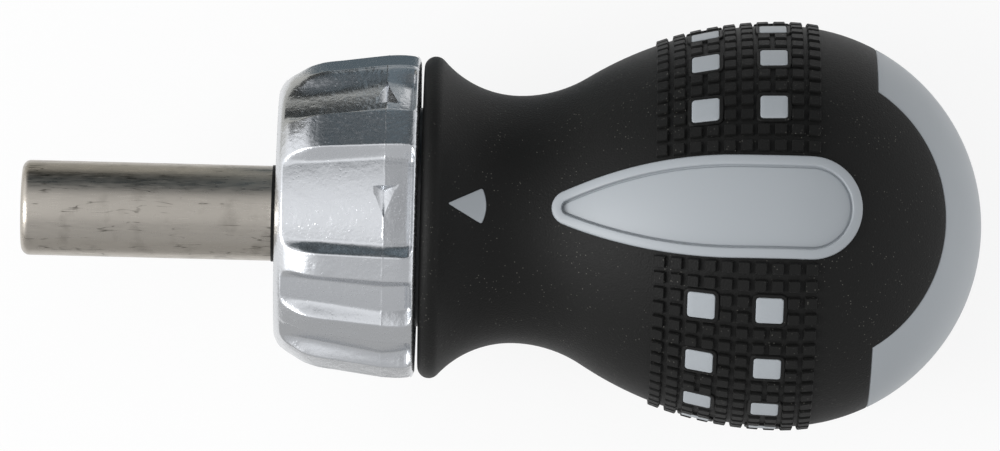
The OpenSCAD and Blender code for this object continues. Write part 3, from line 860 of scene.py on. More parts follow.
@dataclass
class SelectorCollar:
    """Cast selector collar: round nose, finger scallops between flat ridges, a mould seam and sunk marks."""

    front: float = 26.6
    rear: float = 41.3
    bore: float = 12.45
    bore_break: float = 0.3
    floor: float = 28.4
    hole: float = 7.0
    hole_break: float = 0.2
    seal_from: float = 26.95
    seal_radius: float = 7.4
    depth: float = 1.0
    scallop_from: float = 26.6
    scallop_to: float = 40.95
    corner_length: float = 2.6
    corner_width: float = 2.2
    rear_corner: float = 0.75
    floor_slope: float = 0.19
    rear_slope: float = 0.16
    run_out: float = 0.35
    wall: float = 1.35
    wall_outside: float = 0.12
    soft_scallop: float = 48.0
    soft_wall: float = 3.2
    facet_from: float = 28.5
    facet_run: float = 3.0
    seam_at: float = 37.9
    seam_height: float = 0.032
    seam_width: float = 0.08
    mark_length: float = 3.3
    mark_width: float = 2.6
    mark_depth: float = 0.8
    mark_upright: float = 0.12
    mark_over: float = 0.6
    mark_deepest: float = -0.72
    mark_at: float = 37.85
    mark_floor_at: float = 37.5
    mean_radius: float = 16.3
    turn: float = 48.0
    fine_step: float = 0.085
    wide_step: float = 0.42
    fine_before: float = 0.2
    fine_past: float = 0.3
    least_angle: float = 0.12
    # Angle and width in degrees of the scallops of one half; the other half repeats them
    scallops: Rows = ((0.0, 40.0), (48.0, 26.5), (84.5, 20.0), (116.0, 16.0), (142.0, 18.0))
    # Place and radius along the ridges
    outline: Rows = (
        (26.6, 12.75), (26.85, 13.3), (27.48, 14.11), (28.6, 14.92), (29.69, 15.55), (30.8, 15.93),
        (33.5, 16.35), (36.3, 16.74), (38.05, 16.96), (38.5, 16.99), (39.9, 17.0), (40.4, 16.95),
        (40.75, 16.85), (41.05, 16.65), (41.22, 16.35), (41.3, 16.1),
    )
    # Start, end and step of the mesh's rows: close together at the nose, the seam and the rear rim
    row_runs: tuple[tuple[float, float, float], ...] = (
        (26.6, 27.4, 0.1), (27.5, 31.2, 0.1), (31.5, 37.5, 0.4),
        (37.62, 38.16, 0.045), (38.4, 39.45, 0.35), (39.75, 41.0, 0.0735),
    )
    rim_rows: tuple[float, ...] = (41.08, 41.15, 41.22, 41.27, 41.3)

    def all_scallops(self) -> Plan:
        """Return the centre and width in degrees of every scallop round the collar."""
        return [(half + a, w) for half in (0.0, 180.0) for a, w in self.scallops]

    def columns(self) -> np.ndarray:
        """Place the mesh's columns, close together beside each scallop's edges.

        Returns:
            Their angles in radians.
        """
        per_mm = math.degrees(1.0 / self.mean_radius)
        offsets = np.arange(-self.fine_before, self.wall + self.fine_past, self.fine_step) * per_mm
        angles: list[float] = []
        for centre, width in self.all_scallops():
            for side in (-1, 1):
                angles += [centre + side * (width / 2 - d) for d in offsets if d < width / 2]
        angles = sorted(a % 360 for a in angles)
        filled: list[float] = []
        for a, b in zip(angles, angles[1:] + [angles[0] + 360]):
            if b - a >= self.least_angle:
                steps = max(1, math.ceil((b - a) / (self.wide_step * per_mm)))
                filled += [a + (b - a) * k / steps for k in range(steps)]
        return np.radians(np.array(filled))

    def rows(self) -> np.ndarray:
        """Place the mesh's rows along the axis.

        Returns:
            Their places in mm.
        """
        runs = [np.linspace(a, b, round((b - a) / step) + 1) for a, b, step in self.row_runs]
        return np.unique(np.concatenate([*runs, self.rim_rows]))

    def radius(self, s: np.ndarray, angle: np.ndarray) -> np.ndarray:
        """Return the collar's outer radius.

        Args:
            s: Places along the axis in mm, as a column.
            angle: Angles in radians, as a row.

        Returns:
            Radii in mm.
        """
        places, radii = np.array(self.outline).T
        outline = curve_through(s, places, radii)
        ridge = outline * np.ones_like(angle)
        turn = np.degrees(angle)
        scallops = sorted(self.all_scallops())
        # Ridges are flat facets: the radius grows a little from the middle of each toward its edges
        for (a, wa), (b, wb) in zip(scallops, scallops[1:] + [(scallops[0][0] + 360, scallops[0][1])]):
            low, high = a + wa / 2, b - wb / 2
            middle, half = (low + high) / 2, (high - low) / 2
            apart = (turn - middle + 180) % 360 - 180
            facet = (1 + math.cos(math.radians(half))) / 2 / np.cos(np.radians(np.clip(apart, -half, half)))
            share = ease((s - self.facet_from) / self.facet_run)
            ridge = np.where(np.abs(apart) < half, ridge * (1 + (facet - 1) * share), ridge)
        # The side walls have a tight shoulder at the ridge that runs into a wide fillet
        share = np.zeros(ridge.shape)
        for centre, width in scallops:
            apart = (turn - centre + 180) % 360 - 180
            across = np.abs(apart) * math.pi / 180 * self.mean_radius
            inside = self.inside_scallop(across, s, math.radians(width / 2) * self.mean_radius)
            wall = np.where((apart > 0) & (centre % 180 == self.soft_scallop), self.soft_wall, self.wall)
            share = np.maximum(share, np.clip((inside + self.wall_outside) / wall, 0.0, 1.0))
        # Each floor is straight along the axis, so that it runs out through the round nose by itself
        seam_radius = float(curve_through(np.array([self.seam_at]), places, radii)[0])
        floor = seam_radius - self.depth - self.floor_slope * (self.seam_at - s)
        deep = np.where(s < self.seam_at, outline - floor, self.depth + self.rear_slope * (s - self.seam_at))
        deep = np.maximum(deep, 0.0) * ease((self.scallop_to - s) / self.run_out)
        sunk = deep * np.sin(QUARTER * share**0.8) ** 2
        # The parting line wanders and is torn where the flash was broken off
        wander = 0.04 * np.sin(17 * angle) + 0.03 * np.sin(43 * angle + 1) + 0.02 * np.sin(101 * angle + 2)
        torn = 0.75 + 0.25 * np.sin(67 * angle) * np.sin(29 * angle)
        seam = self.seam_height * torn * np.exp(-(((s - self.seam_at - wander) / self.seam_width) ** 2))
        return ridge - sunk + seam

    def inside_scallop(self, across: np.ndarray, s: np.ndarray, half: float) -> np.ndarray:
        """Tell how far places lie inside a scallop's sides, which draw in round a corner at each end.

        Args:
            across: Distances from the scallop's middle line, in mm.
            s: Places along the axis, in mm.
            half: Half the scallop's width, in mm.

        Returns:
            Distances in mm, negative outside.
        """
        t = np.clip((self.scallop_from + self.corner_length - s) / self.corner_length, 0.0, 1.0)
        nose = min(self.corner_width, 0.5 * half) * (1.0 - np.sqrt(1.0 - t**2))
        t = np.clip((s - self.scallop_to + self.rear_corner) / self.rear_corner, 0.0, 1.0)
        rear = self.rear_corner * (1.0 - np.sqrt(1.0 - t**2))
        return half - nose - rear - across

    def marks(self) -> Draft:
        """Shape what sinks the selector marks: upright sides, and a floor deepest beside the base.

        Returns:
            A draft of closed shapes, two for each half of the collar.
        """
        draft = Draft()
        wide, long = self.mark_width / 2, self.mark_length / 2
        corners = [(-wide, -long), (wide, -long), (0.0, long)]
        faces = ((0, 1, 2), (0, 3, 4, 1), (1, 4, 5, 2), (2, 5, 3, 0), (4, 3, 6), (5, 4, 6), (3, 5, 6))
        for half in (0.0, 180.0):
            for degrees, way in ((half, Turn.TIGHTEN), (half + self.turn, Turn.LOOSEN)):
                turn = math.radians(degrees)
                floor = float(self.radius(np.array([[self.mark_floor_at]]), np.array([[turn]]))[0, 0])
                lifts = (self.mark_over, -self.mark_upright)
                plan = [(x, y, floor + lift) for lift in lifts for x, y in corners]
                plan.append((0.0, self.mark_deepest * long, floor - self.mark_depth))
                x, y, z = np.array(plan).T * np.array([[1.0], [way.value], [1.0]])
                across = z * math.sin(turn) + y * math.cos(turn)
                up = z * math.cos(turn) - y * math.sin(turn)
                start = draft.add(np.stack([self.mark_at + x, across, up], axis=-1) * MM)
                draft.faces += [tuple(start + k for k in face) for face in faces]
        return draft

    def build(self, finishes: Finishes) -> Piece:
        """Build and dress the collar.

        Args:
            finishes: The tool's finishes.

        Returns:
            The dressed piece.
        """
        angles, rows = self.columns(), self.rows()
        outer = on_frame(rows[:, None], self.radius(rows[:, None], angles[None, :]), angles[None, :])
        inside = (
            (self.rear, self.bore + self.bore_break),
            (self.rear - self.bore_break, self.bore),
            (self.floor, self.bore),
            (self.floor, self.seal_radius),
            (self.seal_from, self.seal_radius),
            (self.seal_from, self.hole),
            (self.front + self.hole_break, self.hole),
            (self.front, self.hole + self.hole_break),
        )
        draft = Draft()
        inner = np.stack([on_frame(s, r, angles) for s, r in inside])
        draft.sheet(np.concatenate([outer, inner]), wrap_rows=True, wrap_cols=True)
        piece = draft.finish("selector_collar_cast", finishes.chrome, CAST_EDGE)
        carve(piece, self.marks().finish("marks", finishes.steel), Cut.TAKE_AWAY, CAST_EDGE)
        crisp_cut(piece, 12.0)
        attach(piece, "collar")
        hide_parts("selector_collar")
        return piece


# Handle


@dataclass(frozen=True)
class HandleOutline:
    """The handle's turned outline: lip, neck, belly and butt as arcs that run into each other."""

    front: float = 41.6
    waist_at: float = 51.5
    waist_radius: float = 12.9
    front_curve: float = 10.5
    rear_curve: float = 13.3
    belly_at: float = 79.1
    belly_radius: float = 20.9
    belly_curve: float = 38.31
    lip: float = 1.2

    @property
    def lip_middle(self) -> tuple[float, float]:
        """Place and radius of the middle of the lip's rounding."""
        drop = math.sqrt((self.front_curve + self.lip) ** 2 - (self.waist_at - self.front - self.lip) ** 2)
        return self.front + self.lip, self.waist_radius + self.front_curve - drop

    @property
    def join_angle(self) -> float:
        """Angle at which the neck's rear curve runs into the belly, in radians."""
        return math.asin((self.belly_at - self.waist_at) / (self.rear_curve + self.belly_curve))

    def flange(self, sunk: float) -> float:
        """Return where a surface sunk mm under the neck's front curve meets the lip's middle."""
        high = self.waist_radius + self.front_curve - self.lip_middle[1]
        return self.waist_at - math.sqrt((self.front_curve + sunk) ** 2 - high**2)

    def on_ball(self, ball: float, turn: np.ndarray, angles: np.ndarray) -> np.ndarray:
        """Return points in metres on a ball round the butt's middle, turned toward the end."""
        return on_frame(self.belly_at + ball * np.sin(turn), ball * np.cos(turn), angles)

    def radius(self, s: np.ndarray, lift: float = 0.0) -> np.ndarray:
        """Return the radius of the outline, or of the outline raised.

        Args:
            s: Places along the axis in mm.
            lift: How far the outline is raised, in mm.

        Returns:
            Radii in mm.
        """
        s = np.asarray(s, float)
        front, rear = (
            self.waist_radius + curve - np.sqrt(np.maximum(0, (curve - lift) ** 2 - (s - self.waist_at) ** 2))
            for curve in (self.front_curve, self.rear_curve)
        )
        belly, butt = (
            self.belly_radius - curve + np.sqrt(np.maximum(0, (curve + lift) ** 2 - (s - self.belly_at) ** 2))
            for curve in (self.belly_curve, self.belly_radius)
        )
        join = self.waist_at + (self.rear_curve - lift) * math.sin(self.join_angle)
        back = np.where(s < join, rear, np.where(s < self.belly_at, belly, butt))
        return np.where(s < self.waist_at, front, back)

    def stations(self, stop: float) -> np.ndarray:
        """Walk the outline from the front of the lip to a place on the butt.

        Args:
            stop: The place on the butt, in mm.

        Returns:
            A row of (s, r, ns, nr) for each place, with the outward normal.
        """
        lip_s, lip_r = self.lip_middle
        tilt = math.asin((self.waist_at - lip_s) / (self.front_curve + self.lip))
        join, last = self.join_angle, math.asin((stop - self.belly_at) / self.belly_radius)
        # Centre, radius (negative where the arc is hollow), first and last angle of the normal, places
        bends = (
            (lip_s, lip_r, self.lip, -QUARTER, tilt, 18),
            (self.waist_at, self.waist_radius + self.front_curve, -self.front_curve, tilt, 0.0, 16),
            (self.waist_at, self.waist_radius + self.rear_curve, -self.rear_curve, 0.0, -join, 12),
            (self.belly_at, self.belly_radius - self.belly_curve, self.belly_curve, -join, 0.0, 26),
            (self.belly_at, 0.0, self.belly_radius, 0.0, last, 6),
        )
        rows: list[tuple[float, float, float, float]] = []
        for s, r, curve, start, end, count in bends:
            for a in np.linspace(start, end, count)[1 if rows else 0 :]:
                rows.append((s + curve * math.sin(a), r + curve * math.cos(a), math.sin(a), math.cos(a)))
        return np.array(rows)


@dataclass(frozen=True)
class GripEdge:
    """The rear edge of the rubber grip: a plane, and a round tongue on the label side and on the back."""

    outline: HandleOutline = HandleOutline()
    plane: float = 88.5
    tongue_at: float = 80.2
    tongue_radius: float = 15.6
    turn: float = -1.6

    @property
    def corner(self) -> float:
        """Work out where a tongue leaves the plane.

        Returns:
            The angle in degrees.
        """
        ball2 = self.outline.belly_radius**2 - (self.plane - self.outline.belly_at) ** 2
        tongue2 = self.tongue_radius**2 - (self.plane - self.tongue_at) ** 2
        return math.degrees(math.asin(math.sqrt(tongue2 / ball2)))

    def angles(self, sides: int) -> np.ndarray:
        """Return column angles with the four corners among them.

        Args:
            sides: Wanted number of columns.

        Returns:
            Angles in radians that go once round.
        """
        c = self.corner
        stops = [-c, c, 180 - c, 180 + c, 360 - c]
        runs = []
        for a, b in zip(stops, stops[1:]):
            runs.append(np.linspace(a, b, round(sides * (b - a) / 360), endpoint=False))
        return np.radians(np.concatenate(runs) + self.turn)

    def place(self, angle: np.ndarray) -> np.ndarray:
        """Find the edge; the tongues sit a little off the label line.

        Args:
            angle: Angles in radians.

        Returns:
            Places along the axis in mm.
        """
        angle = angle - math.radians(self.turn)
        gap = self.outline.belly_at - self.tongue_at
        ball = self.outline.belly_radius**2
        cos2, sin2 = np.cos(angle) ** 2, np.sin(angle) ** 2
        inner = (2 * gap) ** 2 - 4 * cos2 * (gap**2 + ball * sin2 - self.tongue_radius**2)
        far = (-2 * gap + np.sqrt(np.maximum(inner, 0))) / np.maximum(2 * cos2, 1e-6)
        tongue = np.where((inner > 0) & (cos2 > 0.2), far, 0.0)
        return self.outline.belly_at + np.maximum(self.plane - self.outline.belly_at, tongue)


@dataclass(frozen=True)
class LabelPlan:
    """Plan of the label: two long curves into a small round tip, a straight part and a round end."""

    at: float = 74.0
    half: float = 5.3
    straight: float = 7.6
    curve: float = 45.2
    tip: float = 1.8

    def half_outline(self, inset: float) -> np.ndarray:
        """Draw the upper half from the tip to the end.

        Args:
            inset: How far the outline is moved inward, in mm.

        Returns:
            (s, y) places in mm.
        """
        side = self.curve - self.half
        tip_at = math.sqrt((self.curve - self.tip) ** 2 - side**2)
        joint = math.pi - math.asin(side / (self.curve - self.tip))
        rows = arc(self.at - tip_at, 0.0, self.tip - inset, math.pi, joint, 12, last=False)
        rows += arc(self.at, -side, self.curve - inset, joint, QUARTER, 30, last=False)
        rows += [(self.at + x, self.half - inset) for x in np.linspace(0, self.straight, 8, endpoint=False)]
        rows += arc(self.at + self.straight, 0.0, self.half - inset, QUARTER, 0.0, 20)
        return np.array(rows)


@dataclass(frozen=True)
class Arrow:
    """Arrow behind the lip that the collar's marks are set against: soft corners and a curved base."""

    tip: float = 44.4
    length: float = 3.55
    width: float = 3.72
    corner: float = 0.2
    tip_corner: float = 0.12

    def half_outline(self, inset: float) -> np.ndarray:
        """Draw the upper half from the tip to the base.

        Args:
            inset: How far the outline is moved inward, in mm.

        Returns:
            (s, y) places in mm.
        """
        slope = math.atan2(self.width / 2, self.length)
        base = math.hypot(self.length, self.width / 2)
        # Corner circle that touches the straight side and the curved base
        far = base - self.corner
        off = slope - math.asin(self.corner / far)
        turned = QUARTER + slope
        tip_at = self.tip + self.tip_corner / math.sin(slope)
        rows = arc(tip_at, 0.0, self.tip_corner - inset, math.pi, turned, 5)
        centre = (self.tip + far * math.cos(off), far * math.sin(off))
        rows += arc(*centre, self.corner - inset, turned, off, 7)
        rows += arc(self.tip, 0.0, base - inset, off, 0.0, 8)[1:]
        return np.array(rows)


def closed(half: np.ndarray) -> np.ndarray:
    """Return the whole outline of a plan from its upper half."""
    return np.concatenate([half, (half * np.array([1.0, -1.0]))[-2:0:-1]])


def on_handle(outline: HandleOutline, plan: np.ndarray, lift: float, angle: float) -> np.ndarray:
    """Lay plan places on the raised handle.

    Args:
        outline: The handle's outline.
        plan: (s, y) places, seen square on.
        lift: Height over the outline in mm.
        angle: Angle that the plan faces, in degrees.

    Returns:
        Points in metres.
    """
    s, y = plan[..., 0], plan[..., 1]
    z = np.sqrt(np.maximum(outline.radius(s, lift) ** 2 - y**2, 0.0))
    return on_frame(s, np.hypot(y, z), np.arctan2(y, z) + math.radians(angle))


def raised(
    draft: Draft, plan: LabelPlan | Arrow, outline: HandleOutline, profile: Plan, side: Side, strips: int
) -> None:
    """Add a body with a symmetric plan that stands on the handle, with strips over its top and its foot.

    Args:
        draft: The draft that it goes in.
        plan: Its plan.
        outline: The handle's outline.
        profile: (inset, height) of its rings in mm, from the foot outward and up to the middle of the top.
        side: The side of the handle that it faces.
        strips: Number of strips over the top and the foot.
    """
    rings = [on_handle(outline, closed(plan.half_outline(d)), h, side.value) for d, h in profile]
    draft.sheet(np.stack(rings), wrap_cols=True)
    shares = np.linspace(1.0, -1.0, strips + 1)
    for inset, height in (profile[-1], profile[0]):
        half = plan.half_outline(inset)
        strip = np.stack([np.stack([half[:, 0], half[:, 1] * t], axis=-1) for t in shares])
        draft.sheet(on_handle(outline, strip, height, side.value))


@dataclass(frozen=True)
class Pads:
    """Square grey pads that stand through the grip, level with the studs, and the rubber rims round them."""

    side: float = 2.85
    corner: float = 0.35
    places: tuple[float, ...] = (70.65, 77.65)
    first: float = 30.0
    step: float = 20.0
    each_side: int = 7
    foot: float = -2.0
    top: float = 0.26
    soft: float = 0.12
    # Inset and height of a rim's rings
    rim: Rows = (
        (-0.02, -0.6), (-0.02, 0.18), (-0.07, 0.25), (-0.34, 0.25), (-0.42, 0.17), (-0.45, -0.4),
    )

    def angles(self) -> list[float]:
        """Return the angles of the pads in degrees."""
        return [half + self.first + self.step * i for half in (0.0, 180.0) for i in range(self.each_side)]

    def plan(self, s: float, inset: float) -> np.ndarray:
        """Draw a rounded square.

        Args:
            s: Place of its middle in mm.
            inset: How far the outline is moved inward, in mm.

        Returns:
            (s, y) places in mm.
        """
        radius = max(self.corner - inset, 0.05)
        reach = self.side / 2 - self.corner + min(0.0, self.corner - inset - radius)
        places: Plan = []
        for k, (x, y) in enumerate(((1, 1), (-1, 1), (-1, -1), (1, -1))):
            places += arc(s + x * reach, y * reach, radius, k * QUARTER, (k + 1) * QUARTER, 6)
        return np.array(places)

    def one_row(self, outline: HandleOutline, finishes: Finishes) -> Piece:
        """Build the pads of one row as closed shapes, facing the label line.

        Args:
            outline: The handle's outline.
            finishes: The tool's finishes.

        Returns:
            The row as one piece.
        """
        edge = self.top - self.soft
        profile = [(0.0, self.foot), (0.0, -0.6), (0.0, edge)]
        profile += [(self.soft + s, edge + y) for s, y in arc(0.0, 0.0, self.soft, math.pi, QUARTER, 5)[1:]]
        profile += [(0.6, self.top), (1.0, self.top)]
        draft = Draft()
        for s in self.places:
            rings = [on_handle(outline, self.plan(s, inset), lift, 0.0) for inset, lift in profile]
            foot, top = (on_handle(outline, np.array([s, 0.0]), lift, 0.0) for lift in (self.foot, self.top))
            draft.capped(rings, foot, top)
        return draft.finish("pad_row", finishes.plastic, SOFT_EDGE)

    def rim_row(self, outline: HandleOutline, finishes: Finishes) -> Piece:
        """Build the low rubber rims round the pads of one row, level with the pads.

        Args:
            outline: The handle's outline.
            finishes: The tool's finishes.

        Returns:
            The row as one piece.
        """
        draft = Draft()
        for s in self.places:
            rings = [on_handle(outline, self.plan(s, inset), lift, 0.0) for inset, lift in self.rim]
            draft.sheet(np.stack(rings), wrap_rows=True, wrap_cols=True)
        return draft.finish("rim_row", finishes.rubber, SOFT_EDGE)

    def tree(self) -> Tree:
        """Make the geometry tree that repeats a row round the axis, in two runs with a gap between.

        Returns:
            The tree.
        """
        inputs = {"Rows in a run": "NodeSocketInt"}
        inputs |= {"First angle": "NodeSocketFloat", "Step": "NodeSocketFloat"}
        tree, given, result = geometry_tree("pad_rows", inputs | {"Material": "NodeSocketMaterial"})
        named: dict[str, object] = {name: given.outputs[name] for name in inputs}
        named["index"] = add_node(tree, "GeometryNodeInputIndex")
        # Angles run from +Z toward +Y, which is a turn about -X
        add_table(tree, named, (
            ("rows", MATH, "MULTIPLY", "Rows in a run", 2.0),
            ("runs", MATH, "DIVIDE", "index", "Rows in a run"),
            ("run", MATH, "FLOOR", "runs"),
            ("within", MATH, "MODULO", "index", "Rows in a run"),
            ("steps", MATH, "MULTIPLY", "within", "Step"),
            ("angle", MATH, "ADD", "steps", "First angle"),
            ("half turn", MATH, "MULTIPLY", "run", math.pi),
            ("turn", MATH, "ADD", "angle", "half turn"),
            ("back", MATH, "MULTIPLY", "turn", -1.0),
            ("spin", VECTOR, "", "back"),
        ))
        line = add_node(tree, "GeometryNodeMeshLine", {"Count": named["rows"], "Offset": (0.0, 0.0, 0.0)})
        copies = {"Points": line, "Instance": given.outputs["Geometry"], "Rotation": named["spin"]}
        end_tree(tree, result, copies, given.outputs["Material"])
        return tree

    def repeat(self, row: Piece, material: Material, name: str) -> Piece:
        """Repeat one row round the handle.

        Args:
            row: The row, which is used up.
            material: Its material.
            name: Name of the new piece.

        Returns:
            All rows as one piece.
        """
        values = {
            "Rows in a run": self.each_side,
            "First angle": math.radians(self.first),
            "Step": math.radians(self.step),
            "Material": material,
        }
        return run_tree(row, self.tree(), values, name, SOFT_EDGE)


@dataclass
class Grip:
    """Rubber skin with its windows, its studs and its two tongues."""

    outline: HandleOutline = HandleOutline()
    edge: GripEdge = GripEdge()
    plan: LabelPlan = LabelPlan()
    thickness: float = 1.8
    edge_round: float = 0.16
    window_gap: float = 0.1
    window_top: float = 1.6
    window_foot: float = -2.6
    arrow_foot: float = -2.4
    tight: float = -0.02
    stud_from: float = 66.35
    stud_pitch: float = 1.72
    stud_columns: int = 10
    stud_rows: int = 30
    # The pads take the place of these columns in the last two of every four rows
    pad_every: int = 4
    pad_rows: tuple[int, ...] = (2, 3)
    pad_columns: tuple[int, ...] = (2, 3, 6, 7)
    row_from: float = 17.5
    row_step: float = 5.0
    stud_width: float = 1.28
    stud_height: float = 0.4
    stud_draw_in: float = 0.15
    stud_bend: float = 0.42
    stud_corner_share: float = 0.2
    stud_corner_draw_in: float = 0.04
    sunk: float = 0.25
    split: float = 84.0
    flange_room: float = 0.8
    sides: int = 300

    def skin(self, finishes: Finishes) -> Piece:
        """Build the skin before its windows are cut.

        Args:
            finishes: The tool's finishes.

        Returns:
            A closed shell.
        """
        angles = self.edge.angles(self.sides)
        fixed = self.outline.stations(self.split)
        middle, radius = self.outline.belly_at, self.outline.belly_radius
        rows = [on_frame(s, r, angles) for s, r, _, _ in fixed]
        # On the butt the rows draw apart to the edge, go round it and come back inside
        low = math.asin((self.split - middle) / radius)
        high = np.arcsin((self.edge.place(angles) - middle) / radius)
        soft = self.edge_round
        for t in np.linspace(0, 1, 12)[1:]:
            rows.append(self.outline.on_ball(radius, low + (high - soft / radius - low) * t, angles))
        for t in np.linspace(0, QUARTER, 5)[1:]:
            turn = high - soft / radius * (1 - math.sin(t))
            rows.append(self.outline.on_ball(radius - soft * (1 - math.cos(t)), turn, angles))
        for t in (1.0, 0.6, 0.3, 0.0):
            rows.append(self.outline.on_ball(radius - self.thickness, low + (high - low) * t, angles))
        lip_s, lip_r = self.outline.lip_middle
        for s, r, ns, nr in fixed[::-1][1::3]:
            behind = s - ns * self.thickness > self.outline.front + self.flange_room
            if behind and s > lip_s + self.outline.lip:
                rows.append(on_frame(s - ns * self.thickness, r - nr * self.thickness, angles))
        rows.append(on_frame(self.outline.flange(self.thickness), lip_r, angles))
        draft = Draft()
        draft.sheet(np.stack(rows), wrap_rows=True, wrap_cols=True)
        return draft.finish("handle_grip_skin", finishes.rubber, SOFT_EDGE)

    def windows(self, finishes: Finishes) -> Piece:
        """Build what cuts the windows for the pads, labels and arrows.

        Args:
            finishes: The tool's finishes.

        Returns:
            Closed shapes as one piece.
        """
        pads, deep, plugs = Pads(), self.window_foot, []
        for angle in pads.angles():
            plugs += [(pads.plan(s, -self.window_gap), deep, angle) for s in pads.places]
        for side in Side:
            plugs.append((closed(self.plan.half_outline(self.tight)), deep, side.value))
            plugs.append((closed(Arrow().half_outline(self.tight)), self.arrow_foot, side.value))
        draft = Draft()
        for plan, foot, angle in plugs:
            heights = (foot, self.window_top)
            middle = plan.mean(axis=0)
            rings = [on_handle(self.outline, plan, lift, angle) for lift in heights]
            draft.capped(rings, *(on_handle(self.outline, middle, lift, angle) for lift in heights))
        return draft.finish("windows", finishes.rubber, HARD_EDGE)

    def stud_places(self) -> tuple[np.ndarray, np.ndarray, np.ndarray]:
        """Set out the studs, which leave room for the pads.

        Returns:
            Each stud's point, outward direction and direction round the handle.
        """
        points, facing, around = [], [], []
        outline = self.outline
        for side in (-1, 1):
            for row in range(self.stud_rows):
                for column in range(self.stud_columns):
                    if row % self.pad_every in self.pad_rows and column in self.pad_columns:
                        continue
                    s = self.stud_from + column * self.stud_pitch
                    angle = side * math.radians(self.row_from + self.row_step * row)
                    curve = outline.belly_curve if s < outline.belly_at else outline.belly_radius
                    tilt = math.asin((s - outline.belly_at) / curve)
                    points.append(on_frame(s, float(outline.radius(s)), angle))
                    out = math.cos(tilt)
                    facing.append((math.sin(tilt), out * math.sin(angle), out * math.cos(angle)))
                    around.append((0.0, math.cos(angle), -math.sin(angle)))
        return np.array(points), np.array(facing), np.array(around)

    def stud_tree(self) -> Tree:
        """Make the geometry tree that sets one stud on every point.

        Returns:
            The tree.
        """
        sizes = {name: "NodeSocketFloat" for name in ("Width", "Height", "Sunk", "Draw in")}
        tree, given, result = geometry_tree("studs", sizes | {"Material": "NodeSocketMaterial"})
        place = add_node(tree, "GeometryNodeInputPosition")
        axes = add_node(tree, "ShaderNodeSeparateXYZ", {0: place})
        named: dict[str, object] = {name: given.outputs[name] for name in sizes}
        named |= {axis: axes.outputs[axis] for axis in "XYZ"}
        add_table(tree, named, (
            ("tall", MATH, "ADD", "Height", "Sunk"),
            ("size", VECTOR, "", "Width", "Width", "tall"),
            # Share of the height from foot to top, bent so that the middle ring lies near the top
            ("from middle", MATH, "DIVIDE", "Z", "tall"),
            ("share", MATH, "ADD", "from middle", 0.5),
            ("bent", MATH, "POWER", "share", self.stud_bend),
            ("cube", MATH, "POWER", "share", 3.0),
            ("taper", MATH, "MULTIPLY", "cube", "Draw in"),
            ("tapered", MATH, "SUBTRACT", 1.0, "taper"),
            # The four upright corners are drawn in so that the plan has soft corners
            ("product", MATH, "MULTIPLY", "X", "Y"),
            ("off both axes", MATH, "ABSOLUTE", "product"),
            ("square", MATH, "MULTIPLY", "Width", "Width"),
            ("limit", MATH, "MULTIPLY", "square", self.stud_corner_share),
            ("at a corner", MATH, "GREATER_THAN", "off both axes", "limit"),
            ("drawn in", MATH, "MULTIPLY", "at a corner", self.stud_corner_draw_in),
            ("scale", MATH, "SUBTRACT", "tapered", "drawn in"),
            ("x", MATH, "MULTIPLY", "X", "scale"),
            ("y", MATH, "MULTIPLY", "Y", "scale"),
            ("up", MATH, "MULTIPLY", "bent", "tall"),
            ("z", MATH, "SUBTRACT", "up", "Sunk"),
            ("moved", VECTOR, "", "x", "y", "z"),
        ))
        cuts = {"Vertices X": 4, "Vertices Y": 4, "Vertices Z": 3}
        block = add_node(tree, "GeometryNodeMeshCube", {"Size": named["size"]} | cuts)
        stud = add_node(tree, "GeometryNodeSetPosition", {"Geometry": block, "Position": named["moved"]})
        facing, around = (
            add_node(tree, "GeometryNodeInputNamedAttribute", {"Name": name}, data_type="FLOAT_VECTOR")
            for name in ("facing", "around")
        )
        align = "FunctionNodeAlignRotationToVector"
        out = add_node(tree, align, {"Vector": facing}, axis="Z")
        turn = add_node(tree, align, {"Rotation": out, "Vector": around}, axis="Y", pivot_axis="Z")
        copies = {"Points": given.outputs["Geometry"], "Instance": stud, "Rotation": turn}
        end_tree(tree, result, copies, given.outputs["Material"])
        return tree

    def studs(self, finishes: Finishes) -> Piece:
        """Build all studs.

        Args:
            finishes: The tool's finishes.

        Returns:
            The studs as one piece.
        """
        points, facing, around = self.stud_places()
        mesh = bpy.data.meshes.new("stud_places")
        mesh.from_pydata(points.tolist(), [], [])
        for name, directions in (("facing", facing), ("around", around)):
            attribute = mesh.attributes.new(name, "FLOAT_VECTOR", "POINT")
            attribute.data.foreach_set("vector", directions.astype(np.float32).ravel())
        values = {
            "Width": self.stud_width * MM,
            "Height": self.stud_height * MM,
            "Sunk": self.sunk * MM,
            "Draw in": self.stud_draw_in,
            "Material": finishes.rubber,
        }
        return run_tree(link("stud_places", mesh), self.stud_tree(), values, "handle_grip_studs", SOFT_EDGE)

    def build(self, finishes: Finishes) -> list[Piece]:
        """Build and dress the grip.

        Args:
            finishes: The tool's finishes.

        Returns:
            Its dressed pieces.
        """
        skin = self.skin(finishes)
        carve(skin, self.windows(finishes), Cut.TAKE_AWAY, SOFT_EDGE)
        studs = self.studs(finishes)
        rims = Pads().repeat(Pads().rim_row(self.outline, finishes), finishes.rubber, "handle_grip_pad_rims")
        for piece in (skin, studs, rims):
            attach(piece, "handle")
        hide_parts("handle_grip")
        return [skin, studs, rims]


